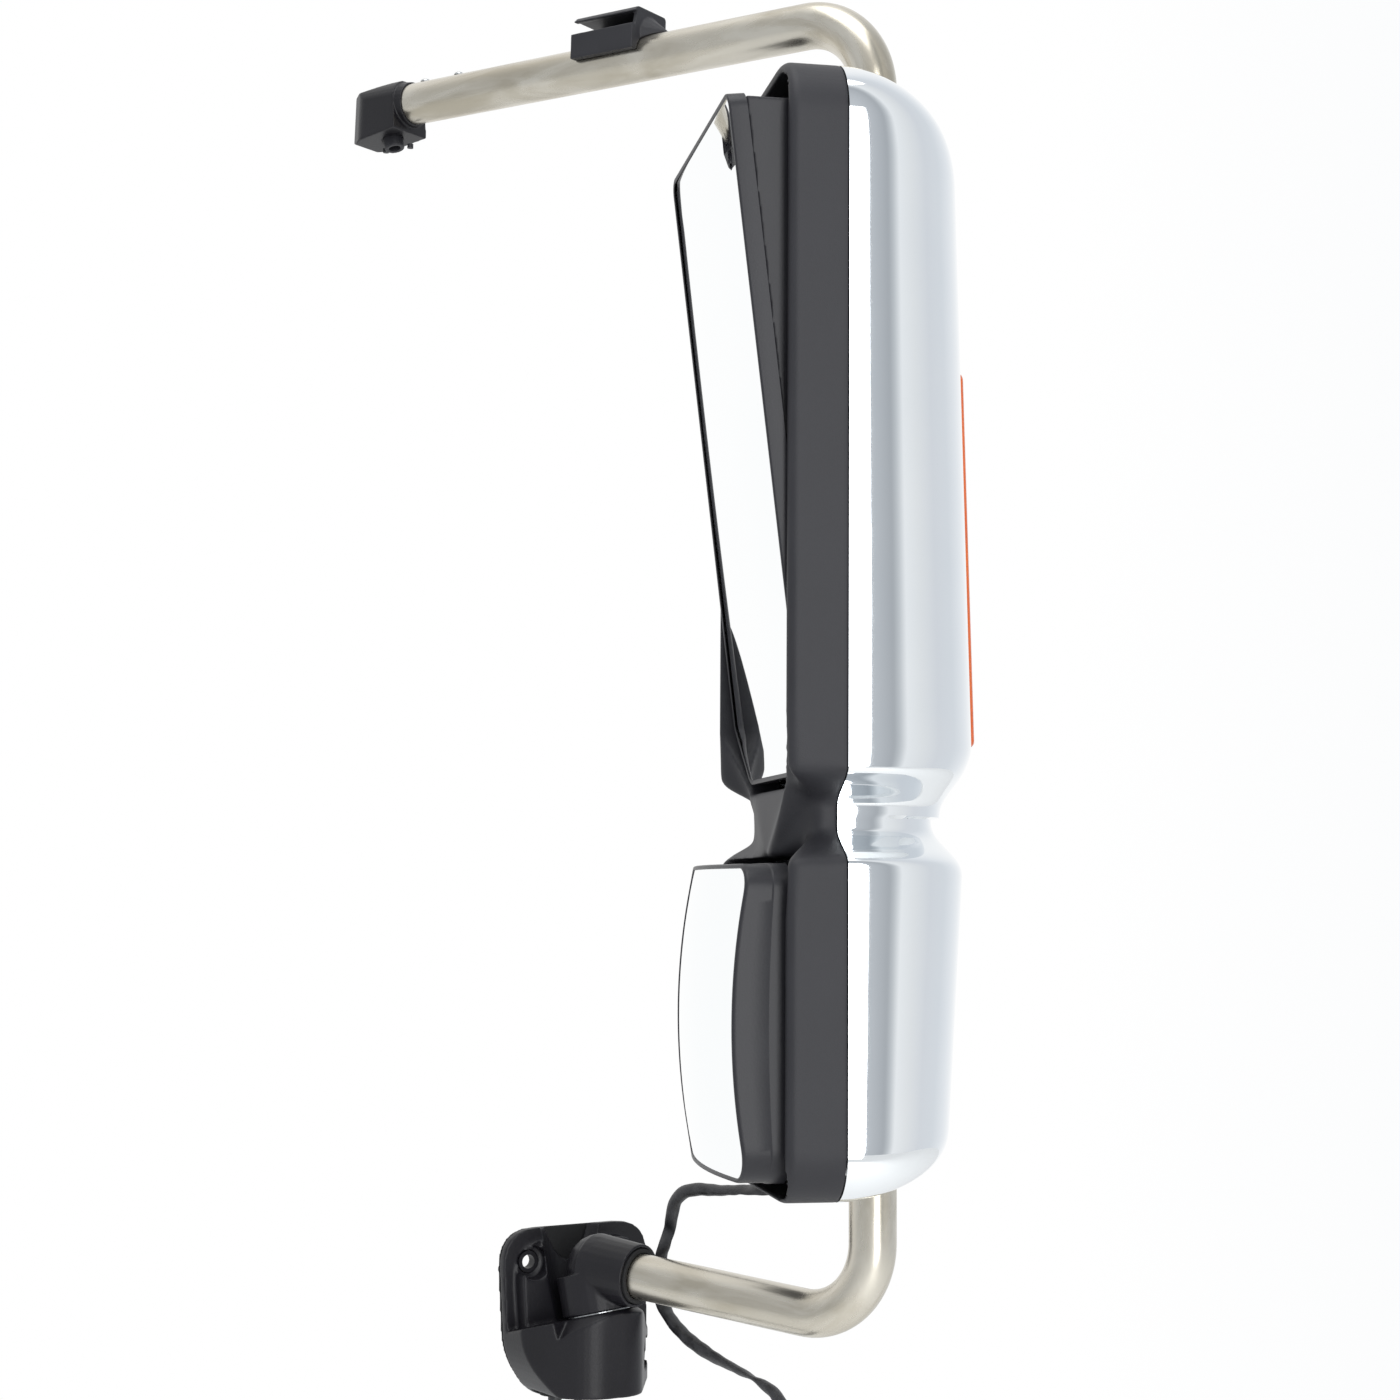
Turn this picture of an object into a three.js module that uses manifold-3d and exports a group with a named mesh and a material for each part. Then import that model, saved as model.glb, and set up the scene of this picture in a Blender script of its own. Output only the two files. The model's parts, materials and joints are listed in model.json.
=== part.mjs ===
// Heavy-truck door mirror: a stainless tube loop that folds on a door base, carrying a
// chrome-backed head with a flat glass above and a convex glass below.
//
// Frame (millimetres): origin on the door side of the base, +X out of the door, +Y forward,
// +Z up. The loop lies in an upright plane turned LOOP_YAW from +X, and the head is clamped
// on the loop's upright run, turned HEAD_YAW from the loop.

import * as THREE from 'three';
import { mergeVertices } from 'three/addons/utils/BufferGeometryUtils.js';
import Module from 'manifold-3d';

const wasm = await Module();
wasm.setup();

// ---------------------------------------------------------------- driving dimensions

const GAP = 0.3;                  // between pieces that touch
const DEG = Math.PI / 180;

// Tube loop
const TUBE_D = 28.6;
const TUBE_WALL = 1.6;
const ARM_LOWER = 208;            // upright run to the lower fold pivot
const ARM_UPPER = 413;            // upright run to the upper fold pivot
const LOWER_ARM_Z = 15;           // arm axis where it would meet the upright axis
const HEAD_BOTTOM = LOWER_ARM_Z + 83;
const HEAD_TOP = 753;
const UPPER_ARM_Z = HEAD_TOP + 60;
const LOWER_RISE = 4.2 * DEG;     // the lower arm climbs towards the base
const UPPER_RISE = 2.5 * DEG;     // the upper arm climbs towards its end
const LOWER_BEND_R = 46;
const UPPER_BEND_R = 52;
const LOOP_YAW = 20 * DEG;

// Base
const GASKET_T = 2.5;
const PLATE_W = 110;
const PLATE_H = 108;
const FLANGE_T = 9;
const PAD_T = 21;                 // raised pad that carries the bolts
const FLANGE_RIM = 8;             // flange left showing round the pad
const PIVOT_X = 40;               // lower fold pivot, out of the door
const SHELF_Z = 1;                // bearing face under the knuckle, at the pivot
const KNUCKLE_R = 23.5;
const DETENT_T = 0.9;
const BARREL_R = 21.5;
const SOCKET_DEPTH = 21;          // tube pushed into the barrel
const BARREL_REACH = 32;          // barrel mouth, from the fold pivot
const PIN_D = 12;
const BOLT_D = 9;
const COUNTERBORE_D = 21;
const BOLTS = [[-36, 33], [36, 33], [40, -29]];
const WALL = 4;                   // cast wall of the base box
const BASE_LEAD = [20, -21];      // harness entry under the base
const GROUND_LEAD = [20, -9];     // ground wire exit under the base
const HARNESS_D = 9;
const GROUND_D = 3.2;

// Head
const HEAD_YAW = 47 * DEG;
const HEAD_HALF_W = 104;
const WAIST_Z = 315;
const WAIST_FLAT = 6;             // half height of the narrow part
const WAIST_FLANK = 22;           // height over which each side flares out again
const WAIST_PINCH = 27;           // each side pulled in at the waist
const WAIST_SINK = 21;            // front lip pushed back at the waist
const BACK_SINK = 18;             // chrome pulled in at the waist
const BACK_FLANK = [34, 44];      // height of its flanks, below and above the waist
const PARTING = -40.6;            // bezel meets chrome
const LIP = -75.5;                // bezel front
const LIP_R = 6;
const CORNER_R_TOP = 38;
const CORNER_R_BOTTOM = 32;
const SHOULDER_TOP = 65;
const SHOULDER_BOTTOM = 40;
const SHELL_T = 2.5;
const BEZEL_WALL = 6.5;
const BACK_POWER = 2.7;           // roundness of the chrome section
const SHOULDER_POWER = 2.3;       // roundness of its two ends

// Flat glass
const GLASS_T = 3;
const FLAT_BOTTOM = 340;
const FLAT_TOP = HEAD_TOP - 27;
const FLAT_HALF_W = 92.5;
const FLAT_FACE = -85.7;          // glass front at mid height
const FLAT_LEAN = 6.9 * DEG;      // top out
const FLAT_CHAMFER = [30, 36];    // lower corners, across and up
const RIM = 1.5;                  // holder showing round the glass
const RIM_DEPTH = 10.5;
const HEATER_T = 0.8;
const BACKING_DEPTH = 36;         // wedge behind the holder, at its top

// Convex glass
const CONVEX_BOTTOM = HEAD_BOTTOM + 12;
const CONVEX_TOP = 287;
const CONVEX_HALF_W = 88;
const CONVEX_R = 420;
const CONVEX_FACE = -111.5;       // crown of the dome
const CONVEX_BACK = -70;          // rear edge of its holder

// Inside the head
const PLATE_FRONT = -22;          // carrier plate
const PLATE_T = 3.5;
const MOTOR_D = 92;
const MOTOR_FACE = -50;
const SCREW_ARM = 34;             // jack screws, from the swivel's centre
const SWIVEL_BACK = 25;           // swivel centre behind the flat glass
const CONVEX_SWIVEL_BACK = 28;    // swivel centre behind the crown of the convex glass
const CLAMP_Z = [HEAD_TOP - 98, HEAD_BOTTOM + 52];

// Marker lamp on the chrome
const LENS_Z = [359, 590];
const LENS_HALF_W = 11;
const LENS_PROUD = 8.5;

// ---------------------------------------------------------------- materials

const paint = (color, roughness, metalness) =>
  new THREE.MeshStandardMaterial({ color, roughness, metalness });
const castBlack = paint(0x1d1c20, 0.5, 0.1);
const mouldedBlack = paint(0x343436, 0.65, 0);
const satinBlack = paint(0x232325, 0.45, 0);
const rubber = paint(0x161616, 0.85, 0);
const stainless = paint(0xb9b3a6, 0.25, 1);
const zincSteel = paint(0xa9abac, 0.35, 1);
const chrome = paint(0xdfe3e7, 0.05, 1);
const silvered = paint(0xf4f6f7, 0.02, 1);
const amber = paint(0xe8661a, 0.2, 0);
const heaterFilm = paint(0x6c4a26, 0.6, 0);
const boardGreen = paint(0x1f5a34, 0.6, 0);
const sleeve = paint(0x222224, 0.5, 0);
const plugGrey = paint(0x3a3b3d, 0.6, 0);

// ---------------------------------------------------------------- solids

function solid(geometry) {
  const bare = geometry.index ? geometry.clone() : geometry;
  bare.deleteAttribute('normal');
  bare.deleteAttribute('uv');
  const merged = mergeVertices(bare, 1e-4);
  const mesh = new wasm.Mesh({
    numProp: 3,
    vertProperties: new Float32Array(merged.attributes.position.array),
    triVerts: new Uint32Array(merged.index.array),
  });
  return new wasm.Manifold(mesh);
}

function geometryOf(manifold) {
  const mesh = manifold.getMesh();
  const geometry = new THREE.BufferGeometry();
  geometry.setAttribute('position', new THREE.BufferAttribute(new Float32Array(mesh.vertProperties), 3));
  geometry.setIndex(new THREE.BufferAttribute(new Uint32Array(mesh.triVerts), 1));
  geometry.computeVertexNormals();
  return geometry;
}

const subtractAll = (body, tools) => tools.reduce((left, tool) => left.subtract(tool), body);
const addAll = (pieces) => pieces.reduce((left, piece) => left.add(piece));

// Upright cylinder between two heights.
function post(radius, z0, z1, x = 0, y = 0, sides = 28) {
  const geometry = new THREE.CylinderGeometry(radius, radius, z1 - z0, sides);
  geometry.rotateX(Math.PI / 2);
  geometry.translate(x, y, (z0 + z1) / 2);
  return solid(geometry);
}

// Cylinder or cone along X.
function rod(r0, r1, x0, x1, y = 0, z = 0, sides = 28) {
  const geometry = new THREE.CylinderGeometry(r1, r0, x1 - x0, sides);
  geometry.rotateZ(-Math.PI / 2);
  geometry.translate((x0 + x1) / 2, y, z);
  return solid(geometry);
}

function block(x0, x1, y0, y1, z0, z1) {
  const geometry = new THREE.BoxGeometry(x1 - x0, y1 - y0, z1 - z0);
  geometry.translate((x0 + x1) / 2, (y0 + y1) / 2, (z0 + z1) / 2);
  return solid(geometry);
}

// Closed outline in the (y, z) plane with its own radius at each corner, from [y, z, r] corners.
function outline(corners) {
  const shape = new THREE.Shape();
  const count = corners.length;
  corners.forEach(([y, z, r], i) => {
    const before = corners[(i + count - 1) % count];
    const after = corners[(i + 1) % count];
    const here = new THREE.Vector2(y, z);
    const inward = new THREE.Vector2(before[0], before[1]).sub(here).normalize().multiplyScalar(r);
    const onward = new THREE.Vector2(after[0], after[1]).sub(here).normalize().multiplyScalar(r);
    const start = here.clone().add(inward);
    const end = here.clone().add(onward);
    if (i === 0) shape.moveTo(start.x, start.y);
    else shape.lineTo(start.x, start.y);
    if (r > 0) shape.quadraticCurveTo(y, z, end.x, end.y);
  });
  shape.closePath();
  return shape;
}

// A (y, z) outline carried from x0 to x1.
function panel(shape, x0, x1, curveSegments = 6) {
  const geometry = new THREE.ExtrudeGeometry(shape, { depth: x1 - x0, bevelEnabled: false, curveSegments });
  geometry.rotateX(Math.PI / 2);
  geometry.rotateZ(Math.PI / 2);
  geometry.translate(x0, 0, 0);
  return solid(geometry);
}

// A (x, y) outline carried from z0 to z1.
function slab(shape, z0, z1, curveSegments = 6) {
  const geometry = new THREE.ExtrudeGeometry(shape, { depth: z1 - z0, bevelEnabled: false, curveSegments });
  geometry.translate(0, 0, z0);
  return solid(geometry);
}

// Skin over a stack of closed rings, each a list of Vector3, with a fan on both ends.
function loft(rings) {
  const count = rings[0].length;
  const points = rings.flat();
  const faces = [];
  for (let k = 0; k < rings.length - 1; k += 1) {
    for (let i = 0; i < count; i += 1) {
      const a = k * count + i;
      const b = k * count + ((i + 1) % count);
      faces.push(a, b, b + count, a, b + count, a + count);
    }
  }
  const last = (rings.length - 1) * count;
  const middle = (ring) => ring.reduce((sum, p) => sum.add(p), new THREE.Vector3()).divideScalar(count);
  points.push(middle(rings[0]), middle(rings[rings.length - 1]));
  for (let i = 0; i < count; i += 1) {
    const next = (i + 1) % count;
    faces.push(points.length - 2, next, i, points.length - 1, last + i, last + next);
  }
  const geometry = new THREE.BufferGeometry();
  geometry.setAttribute('position', new THREE.Float32BufferAttribute(points.flatMap((p) => p.toArray()), 3));
  geometry.setIndex(faces);
  return solid(geometry);
}

// Round tube along a path.
function pipe(path, radius, steps, sides) {
  const section = new THREE.Shape();
  section.absarc(0, 0, radius, 0, 2 * Math.PI, false);
  const geometry = new THREE.ExtrudeGeometry(section, {
    extrudePath: path, steps, curveSegments: sides / 2, bevelEnabled: false,
  });
  return solid(geometry);
}

function addMesh(frame, name, manifold, material) {
  const mesh = new THREE.Mesh(geometryOf(manifold), material);
  mesh.name = name;
  frame.add(mesh);
  return mesh;
}

// ---------------------------------------------------------------- frames

const mirror = new THREE.Group();

const loopFrame = new THREE.Group();
const towardsTube = new THREE.Vector3(Math.cos(LOOP_YAW), Math.sin(LOOP_YAW), 0);
loopFrame.position.copy(towardsTube).multiplyScalar(ARM_LOWER).add(new THREE.Vector3(PIVOT_X, 0, 0));
loopFrame.rotation.z = LOOP_YAW;
mirror.add(loopFrame);

const headFrame = new THREE.Group();
headFrame.rotation.z = HEAD_YAW;
loopFrame.add(headFrame);

// The fold axis runs through both ends of the loop and leans in towards the cab.
const lowerEndZ = LOWER_ARM_Z + ARM_LOWER * Math.tan(LOWER_RISE);
const upperEndZ = UPPER_ARM_Z + ARM_UPPER * Math.tan(UPPER_RISE);
const FOLD_LEAN = Math.atan2(ARM_UPPER - ARM_LOWER, upperEndZ - SHELF_Z);

// Turns a solid built about the upright Z axis so that it follows the fold axis, with its
// own origin on the axis at height z of the loop frame.
function onFoldAxis(manifold, x, z) {
  return manifold.rotate([0, -FOLD_LEAN / DEG, 0]).translate([x, 0, z]);
}

// ---------------------------------------------------------------- base

const baseTurn = (manifold) =>
  manifold.translate([ARM_LOWER, 0, 0]).rotate([0, 0, LOOP_YAW / DEG]).translate([PIVOT_X, 0, 0]);
const onBasePivot = (manifold, z) => baseTurn(onFoldAxis(manifold, -ARM_LOWER, z));

const plateOutline = (inset) => {
  const y = PLATE_W / 2 - inset;
  const z = PLATE_H / 2 - inset;
  return outline([
    [-y, z, 26], [y, z, 24], [y, -z, 22], [-y + 24, -z, 14], [-y + 5, -z + 28, 14],
  ].reverse());
};

function boltTools(radius, x0, x1) {
  return BOLTS.map(([y, z]) => rod(radius, radius, x0, x1, y, z, 20));
}

const boxFloor = -PLATE_H / 2 + 6;

function buildBase() {
  const boxPlan = new THREE.Shape();
  boxPlan.moveTo(FLANGE_T, -54);
  boxPlan.lineTo(18, -54);
  boxPlan.quadraticCurveTo(29, -53, 38, -44);
  boxPlan.lineTo(54, -30);
  boxPlan.quadraticCurveTo(65, -21, 66, -8);
  boxPlan.lineTo(67, 4);
  boxPlan.quadraticCurveTo(67, 15, 59, 21);
  boxPlan.lineTo(22, 48);
  boxPlan.lineTo(FLANGE_T, 48);
  boxPlan.closePath();
  const box = slab(boxPlan, boxFloor, SHELF_Z + 30).intersect(panel(plateOutline(0), 0, 90))
    .subtract(onBasePivot(block(-90, 90, -90, 90, 0, 90), SHELF_Z));

  const flange = panel(plateOutline(0), GASKET_T + GAP, FLANGE_T);
  const pad = panel(plateOutline(FLANGE_RIM), FLANGE_T - 0.5, PAD_T);
  const sweep = onBasePivot(post(KNUCKLE_R + 5, 0, 100, 0, 0, 40), SHELF_Z);

  // The shelf falls away round the knuckle, so the barrel clears it as the arm swings.
  const bevelReach = 14;
  const bevelCone = solid(new THREE.CylinderGeometry(KNUCKLE_R + 1, KNUCKLE_R + 1 + bevelReach, bevelReach, 40)
    .rotateX(Math.PI / 2).translate(0, 0, -bevelReach / 2));
  const bevel = onBasePivot(post(70, -bevelReach, 0.5, 0, 0, 40).subtract(bevelCone)
    .subtract(post(KNUCKLE_R + 1, -1, 1, 0, 0, 40)).intersect(block(-8, 120, -90, 90, -60, 60)), SHELF_Z)
    .intersect(block(PAD_T, 200, -90, 90, -90, 90));

  const hollowPlan = new THREE.Shape();
  hollowPlan.moveTo(-5, -33);
  hollowPlan.lineTo(32, -33);
  hollowPlan.lineTo(50, -24);
  hollowPlan.quadraticCurveTo(60, -16, 62, -4);
  hollowPlan.quadraticCurveTo(63, 10, 54, 15);
  hollowPlan.lineTo(34, 22);
  hollowPlan.lineTo(-5, 22);
  hollowPlan.closePath();
  const hollow = slab(hollowPlan, boxFloor + WALL, SHELF_Z + 20)
    .subtract(onBasePivot(block(-90, 90, -90, 90, -2 * WALL, 90), SHELF_Z))
    .subtract(onBasePivot(post(90, -bevelReach - WALL, 90).subtract(post(KNUCKLE_R - 1, -60, 90))
      .intersect(block(-8 - WALL, 120, -90, 90, -60, 90)), SHELF_Z).intersect(block(PAD_T - WALL, 200, -90, 90, -90, 90)));

  const throughPin = onBasePivot(post(PIN_D / 2 + GAP, -40, 20), SHELF_Z);
  const [leadX, leadY] = BASE_LEAD;
  const leadHole = post(8, boxFloor - 5, boxFloor + WALL + 5, leadX, leadY, 20);
  const [groundX, groundY] = GROUND_LEAD;
  const groundHole = post(GROUND_D / 2 + 0.8, boxFloor - 5, boxFloor + WALL + 5, groundX, groundY, 14);
  const housing = subtractAll(addAll([flange, pad, box]), [
    sweep, bevel, hollow, throughPin, leadHole, groundHole,
    ...boltTools(COUNTERBORE_D / 2, FLANGE_T + 1, 80),
    ...boltTools(BOLT_D / 2 + 2.5 + GAP, -5, 20),
  ]);
  addMesh(mirror, 'base_housing', housing, castBlack);

  const gasket = subtractAll(panel(plateOutline(0.5), 0, GASKET_T), [
    ...boltTools(BOLT_D / 2 + 3, -5, 10), block(-5, 10, -20, 20, -40, -14),
  ]);
  addMesh(mirror, 'door_gasket', gasket, rubber);

  BOLTS.forEach(([y, z], i) => {
    const bush = rod(BOLT_D / 2 + 2.5, BOLT_D / 2 + 2.5, GASKET_T + GAP, FLANGE_T + 1, y, z, 20)
      .subtract(rod(BOLT_D / 2, BOLT_D / 2, -5, 20, y, z, 20));
    addMesh(mirror, `bolt_bush_${i + 1}`, bush, zincSteel);
  });

  const detent = onBasePivot(post(KNUCKLE_R - 3, GAP, DETENT_T).subtract(post(PIN_D / 2 + GAP, -5, 5)), SHELF_Z);
  addMesh(mirror, 'detent_plate', detent, zincSteel);

  // Spring, washer and nut hang under the shelf and pull the knuckle down on the detent.
  const under = -2 * WALL - GAP;
  const springTop = under;
  const turns = 4;
  const pitch = 3.6;
  class SpringPath extends THREE.Curve {
    getPoint(t, target = new THREE.Vector3()) {
      const angle = 2 * Math.PI * turns * t;
      const r = PIN_D / 2 + 2.4;
      return target.set(r * Math.cos(angle), r * Math.sin(angle), springTop - 1.5 - pitch * turns * t);
    }
  }
  const spring = onBasePivot(pipe(new SpringPath(), 1.2, 36, 6), SHELF_Z);
  addMesh(mirror, 'detent_spring', spring, zincSteel);
  const springEnd = springTop - 1.5 - pitch * turns - 1.5 - GAP;
  const washer = onBasePivot(post(11, springEnd - 2, springEnd).subtract(post(PIN_D / 2 + GAP, -60, 0)), SHELF_Z);
  addMesh(mirror, 'spring_washer', washer, zincSteel);

  const grommet = post(7.7, boxFloor - 3, boxFloor + WALL + 1, leadX, leadY, 20)
    .add(post(10, boxFloor - 3, boxFloor - GAP, leadX, leadY, 20))
    .subtract(post(HARNESS_D / 2 + GAP, -80, 0, leadX, leadY, 16));
  addMesh(mirror, 'base_grommet', grommet, rubber);
  return { springEnd };
}

const { springEnd } = buildBase();

// ---------------------------------------------------------------- tube loop

const lowerDir = new THREE.Vector3(-Math.cos(LOWER_RISE), 0, Math.sin(LOWER_RISE));
const upperDir = new THREE.Vector3(-Math.cos(UPPER_RISE), 0, Math.sin(UPPER_RISE));
const onLower = (s) => new THREE.Vector3(-s, 0, LOWER_ARM_Z + s * Math.tan(LOWER_RISE));
const onUpper = (s) => new THREE.Vector3(-s, 0, UPPER_ARM_Z + s * Math.tan(UPPER_RISE));

// Arc that rounds the corner between the upright run and an arm.
class BendArc extends THREE.Curve {
  constructor(corner, from, to, radius) {
    super();
    const half = from.angleTo(to) / 2;
    const setback = radius * Math.tan(half);
    this.start = corner.clone().addScaledVector(from, -setback);
    this.end = corner.clone().addScaledVector(to, setback);
    this.from = from;
    this.radius = radius;
    this.turn = 2 * half;
    const side = to.clone().addScaledVector(from, -from.dot(to)).normalize();
    this.centre = this.start.clone().addScaledVector(side, radius);
    this.side = side;
  }

  getPoint(t, target = new THREE.Vector3()) {
    const angle = this.turn * t;
    return target.copy(this.centre)
      .addScaledVector(this.side, -this.radius * Math.cos(angle))
      .addScaledVector(this.from, this.radius * Math.sin(angle));
  }
}

const tubeEndLower = ARM_LOWER - BARREL_REACH + SOCKET_DEPTH;
const tubeEndUpper = ARM_UPPER - 27;

function loopPath(overrun) {
  const up = new THREE.Vector3(0, 0, 1);
  const bendLower = new BendArc(onLower(0), lowerDir.clone().negate(), up, LOWER_BEND_R);
  const bendUpper = new BendArc(onUpper(0), up, upperDir, UPPER_BEND_R);
  const path = new THREE.CurvePath();
  path.add(new THREE.LineCurve3(onLower(tubeEndLower).addScaledVector(lowerDir, overrun), bendLower.start));
  path.add(bendLower);
  path.add(new THREE.LineCurve3(bendLower.end, bendUpper.start));
  path.add(bendUpper);
  path.add(new THREE.LineCurve3(bendUpper.end, onUpper(tubeEndUpper).addScaledVector(upperDir, overrun)));
  return path;
}

// Rings are set where the tube bends and at the ends of its straight runs.
function tubeSolid(radius, overrun, sides = 22) {
  const path = loopPath(overrun);
  const rings = [];
  const yAxis = new THREE.Vector3(0, 1, 0);
  path.curves.forEach((curve, index) => {
    const straight = index % 2 === 0;
    const cuts = straight ? [0, 1] : Array.from({ length: 6 }, (_, k) => (k + 1) / 7);
    cuts.forEach((t) => {
      const centre = curve.getPoint(t);
      const along = curve.getTangent(t).normalize();
      const across = new THREE.Vector3().crossVectors(yAxis, along);
      const ring = [];
      for (let i = 0; i < sides; i += 1) {
        const angle = (2 * Math.PI * i) / sides;
        ring.push(centre.clone()
          .addScaledVector(across, radius * Math.cos(angle))
          .addScaledVector(yAxis, radius * Math.sin(angle)));
      }
      rings.push(ring);
    });
  });
  return loft(rings);
}

// Places a solid built along +X onto an arm, its origin at distance s from the upright axis and
// its +X pointing to the arm's free end.
function onArm(manifold, point, rise) {
  return manifold.rotate([0, 0, 180]).rotate([0, rise / DEG, 0]).translate(point.toArray());
}
const onLowerArm = (manifold, s) => onArm(manifold, onLower(s), LOWER_RISE);
const onUpperArm = (manifold, s) => onArm(manifold, onUpper(s), UPPER_RISE);

const SCREW_S = [tubeEndUpper - 9, tubeEndUpper - 41];
const tubeR = TUBE_D / 2;

function buildLoop() {
  const screwHoles = SCREW_S.map((s) => onUpperArm(post(2.6, 0, 30, 0, 0, 14), s));
  const tube = subtractAll(tubeSolid(tubeR, 0).subtract(tubeSolid(tubeR - TUBE_WALL, 5)), screwHoles);
  addMesh(loopFrame, 'loop_tube', tube, stainless);

  // Knuckle with the barrel that takes the tube.
  const foot = onFoldAxis(post(KNUCKLE_R, DETENT_T + GAP, 27, 0, 0, 28), -ARM_LOWER, SHELF_Z);
  const barrel = onLowerArm(rod(BARREL_R - 1.5, BARREL_R, -BARREL_REACH, 4, 0, 0, 26), ARM_LOWER);
  const dome = solid(new THREE.SphereGeometry(BARREL_R, 26, 10).rotateX(Math.PI / 2))
    .translate([-ARM_LOWER, 0, lowerEndZ]);
  const socketBore = onLowerArm(rod(tubeR + GAP, tubeR + GAP, -100, -BARREL_REACH + SOCKET_DEPTH + GAP), ARM_LOWER);
  const sleeveBore = onLowerArm(rod(tubeR + 3.4, tubeR + 3.4, -100, -BARREL_REACH + 10), ARM_LOWER);
  const pinBore = onFoldAxis(post(PIN_D / 2 + GAP, -20, 19, 0, 0, 24), -ARM_LOWER, SHELF_Z);
  const pinHead = onFoldAxis(post(9 + GAP, 12, 19.5, 0, 0, 6), -ARM_LOWER, SHELF_Z);
  const grub = onLowerArm(post(3.2, -40, 0, -BARREL_REACH + 15, 0, 14), ARM_LOWER);
  const knuckle = subtractAll(addAll([foot, barrel, dome]), [socketBore, sleeveBore, pinBore, pinHead, grub]);
  addMesh(loopFrame, 'arm_socket', knuckle, castBlack);

  const ring = onLowerArm(
    rod(tubeR + 3.1, tubeR + 3.1, -BARREL_REACH - 1.5, -BARREL_REACH + 10 - GAP)
      .subtract(rod(tubeR + GAP, tubeR + GAP, -100, 10)), ARM_LOWER);
  addMesh(loopFrame, 'socket_sleeve', ring, rubber);

  const grubScrew = onLowerArm(post(2.9, -BARREL_R + 2, -tubeR - GAP, -BARREL_REACH + 15, 0, 12), ARM_LOWER);
  addMesh(loopFrame, 'socket_grub_screw', grubScrew, zincSteel);

  const pinLength = springEnd - 2 - GAP;
  const pin = onFoldAxis(
    post(PIN_D / 2, pinLength - 9, 13, 0, 0, 24).add(post(9, 12 + GAP, 18, 0, 0, 6)), -ARM_LOWER, SHELF_Z);
  const nut = onFoldAxis(
    post(9.5, pinLength - 7, pinLength, 0, 0, 6).subtract(post(PIN_D / 2 + GAP, -60, 0, 0, 0, 24)),
    -ARM_LOWER, SHELF_Z);
  addMesh(loopFrame, 'fold_pin', pin, zincSteel);
  addMesh(loopFrame, 'fold_nut', nut, zincSteel);

  buildUpperFitting();
  buildClip();
}

function buildUpperFitting() {
  const end = tubeEndUpper;
  const shank = onUpperArm(rod(tubeR - TUBE_WALL - GAP, tubeR - TUBE_WALL - GAP, -52, 2), end);
  const collar = onUpperArm(rod(tubeR + 1.2, tubeR + 2.8, GAP, 16), end);
  const profile = new THREE.Shape();
  profile.moveTo(8, 17);
  profile.lineTo(51, 9);
  profile.lineTo(51, -24);
  profile.lineTo(46, -26);
  profile.lineTo(4, -20);
  profile.closePath();
  const width = 17;
  const wedge = new THREE.ExtrudeGeometry(profile, { depth: 2 * width, bevelEnabled: false });
  wedge.rotateX(Math.PI / 2);
  wedge.translate(0, width, 0);
  const nosePlan = outline([[2, -width, 3], [38, -width, 4], [52, -width + 9, 3], [52, width - 9, 3],
    [38, width, 4], [2, width, 3]]);
  const section = rod(width + 0.5, width + 0.5, -10, 70, 0, 0, 36).add(block(-10, 70, -20, 20, -60, 0));
  const body = onUpperArm(solid(wedge).intersect(slab(nosePlan, -40, 40)).intersect(section), end);
  const pivotX = -ARM_UPPER;
  const onPivot = (manifold) => onFoldAxis(manifold, pivotX, upperEndZ);
  const pivotBore = onPivot(post(7 + GAP, -60, -6, 0, 0, 24));
  const taps = SCREW_S.map((s) => onUpperArm(post(2.2, 4, 30, 0, 0, 14), s));
  const fitting = subtractAll(addAll([shank, collar, body]), [pivotBore, ...taps]);
  addMesh(loopFrame, 'end_fitting', fitting, castBlack);

  const bushing = onPivot(post(7, -31, -6 - GAP, 0, 0, 24).subtract(post(4.2, -40, -10, 0, 0, 18)));
  addMesh(loopFrame, 'pivot_bushing', bushing, satinBlack);

  [-1, 1].forEach((side, i) => {
    const ear = onUpperArm(post(2.2, -29.5, -26.5, 20 + side * 12, -5, 12), end);
    addMesh(loopFrame, `fitting_stud_${i + 1}`, ear, satinBlack);
  });

  SCREW_S.forEach((s, i) => {
    const screw = onUpperArm(
      post(1.9, 6, tubeR + 1, 0, 0, 12).add(post(3.8, tubeR + GAP, tubeR + 2.6, 0, 0, 16)), s);
    addMesh(loopFrame, `fitting_screw_${i + 1}`, screw, zincSteel);
  });
}

// Clip on the upper arm: a channel open to the rear, closed at its outer end.
function buildClip() {
  const length = 52;
  const corners = [[-20, 2, 0.5], [-13, 2, 0.5], [-2, 8, 1], [16, 8, 2], [16, 31, 2], [-14, 31, 1.5],
    [-18, 27, 1], [-14, 27, 0.5], [-12, 28, 0.5], [12, 28, 0.5], [12, 17, 0.5], [-15, 17, 0.5],
    [-17, 18.5, 0.5], [-20, 18.5, 0.5]];
  const channel = panel(outline(corners.map(([y, z, r]) => [-y, z, r])), -length / 2, length / 2, 2);
  const endWall = panel(outline([[-15, 16, 1], [17, 16, 1], [14, 30, 2], [-15, 30, 2]]), -length / 2, -length / 2 + 3, 2);
  const fin = new THREE.ConeGeometry(13, 16, 14).rotateZ(Math.PI / 2).translate(-length / 2 - 7, 0, 15);
  const saddle = onUpperArm(
    addAll([channel, endWall, solid(fin)]).subtract(rod(tubeR + GAP, tubeR + GAP, -80, 80)), 201);
  addMesh(loopFrame, 'arm_clip', saddle, satinBlack);
}

buildLoop();

// ---------------------------------------------------------------- head shells

const waist = (z) => {
  const t = Math.max(0, Math.abs(z - WAIST_Z) - WAIST_FLAT) / WAIST_FLANK;
  return t >= 1 ? 0 : (1 + Math.cos(Math.PI * t)) / 2;
};

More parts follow.
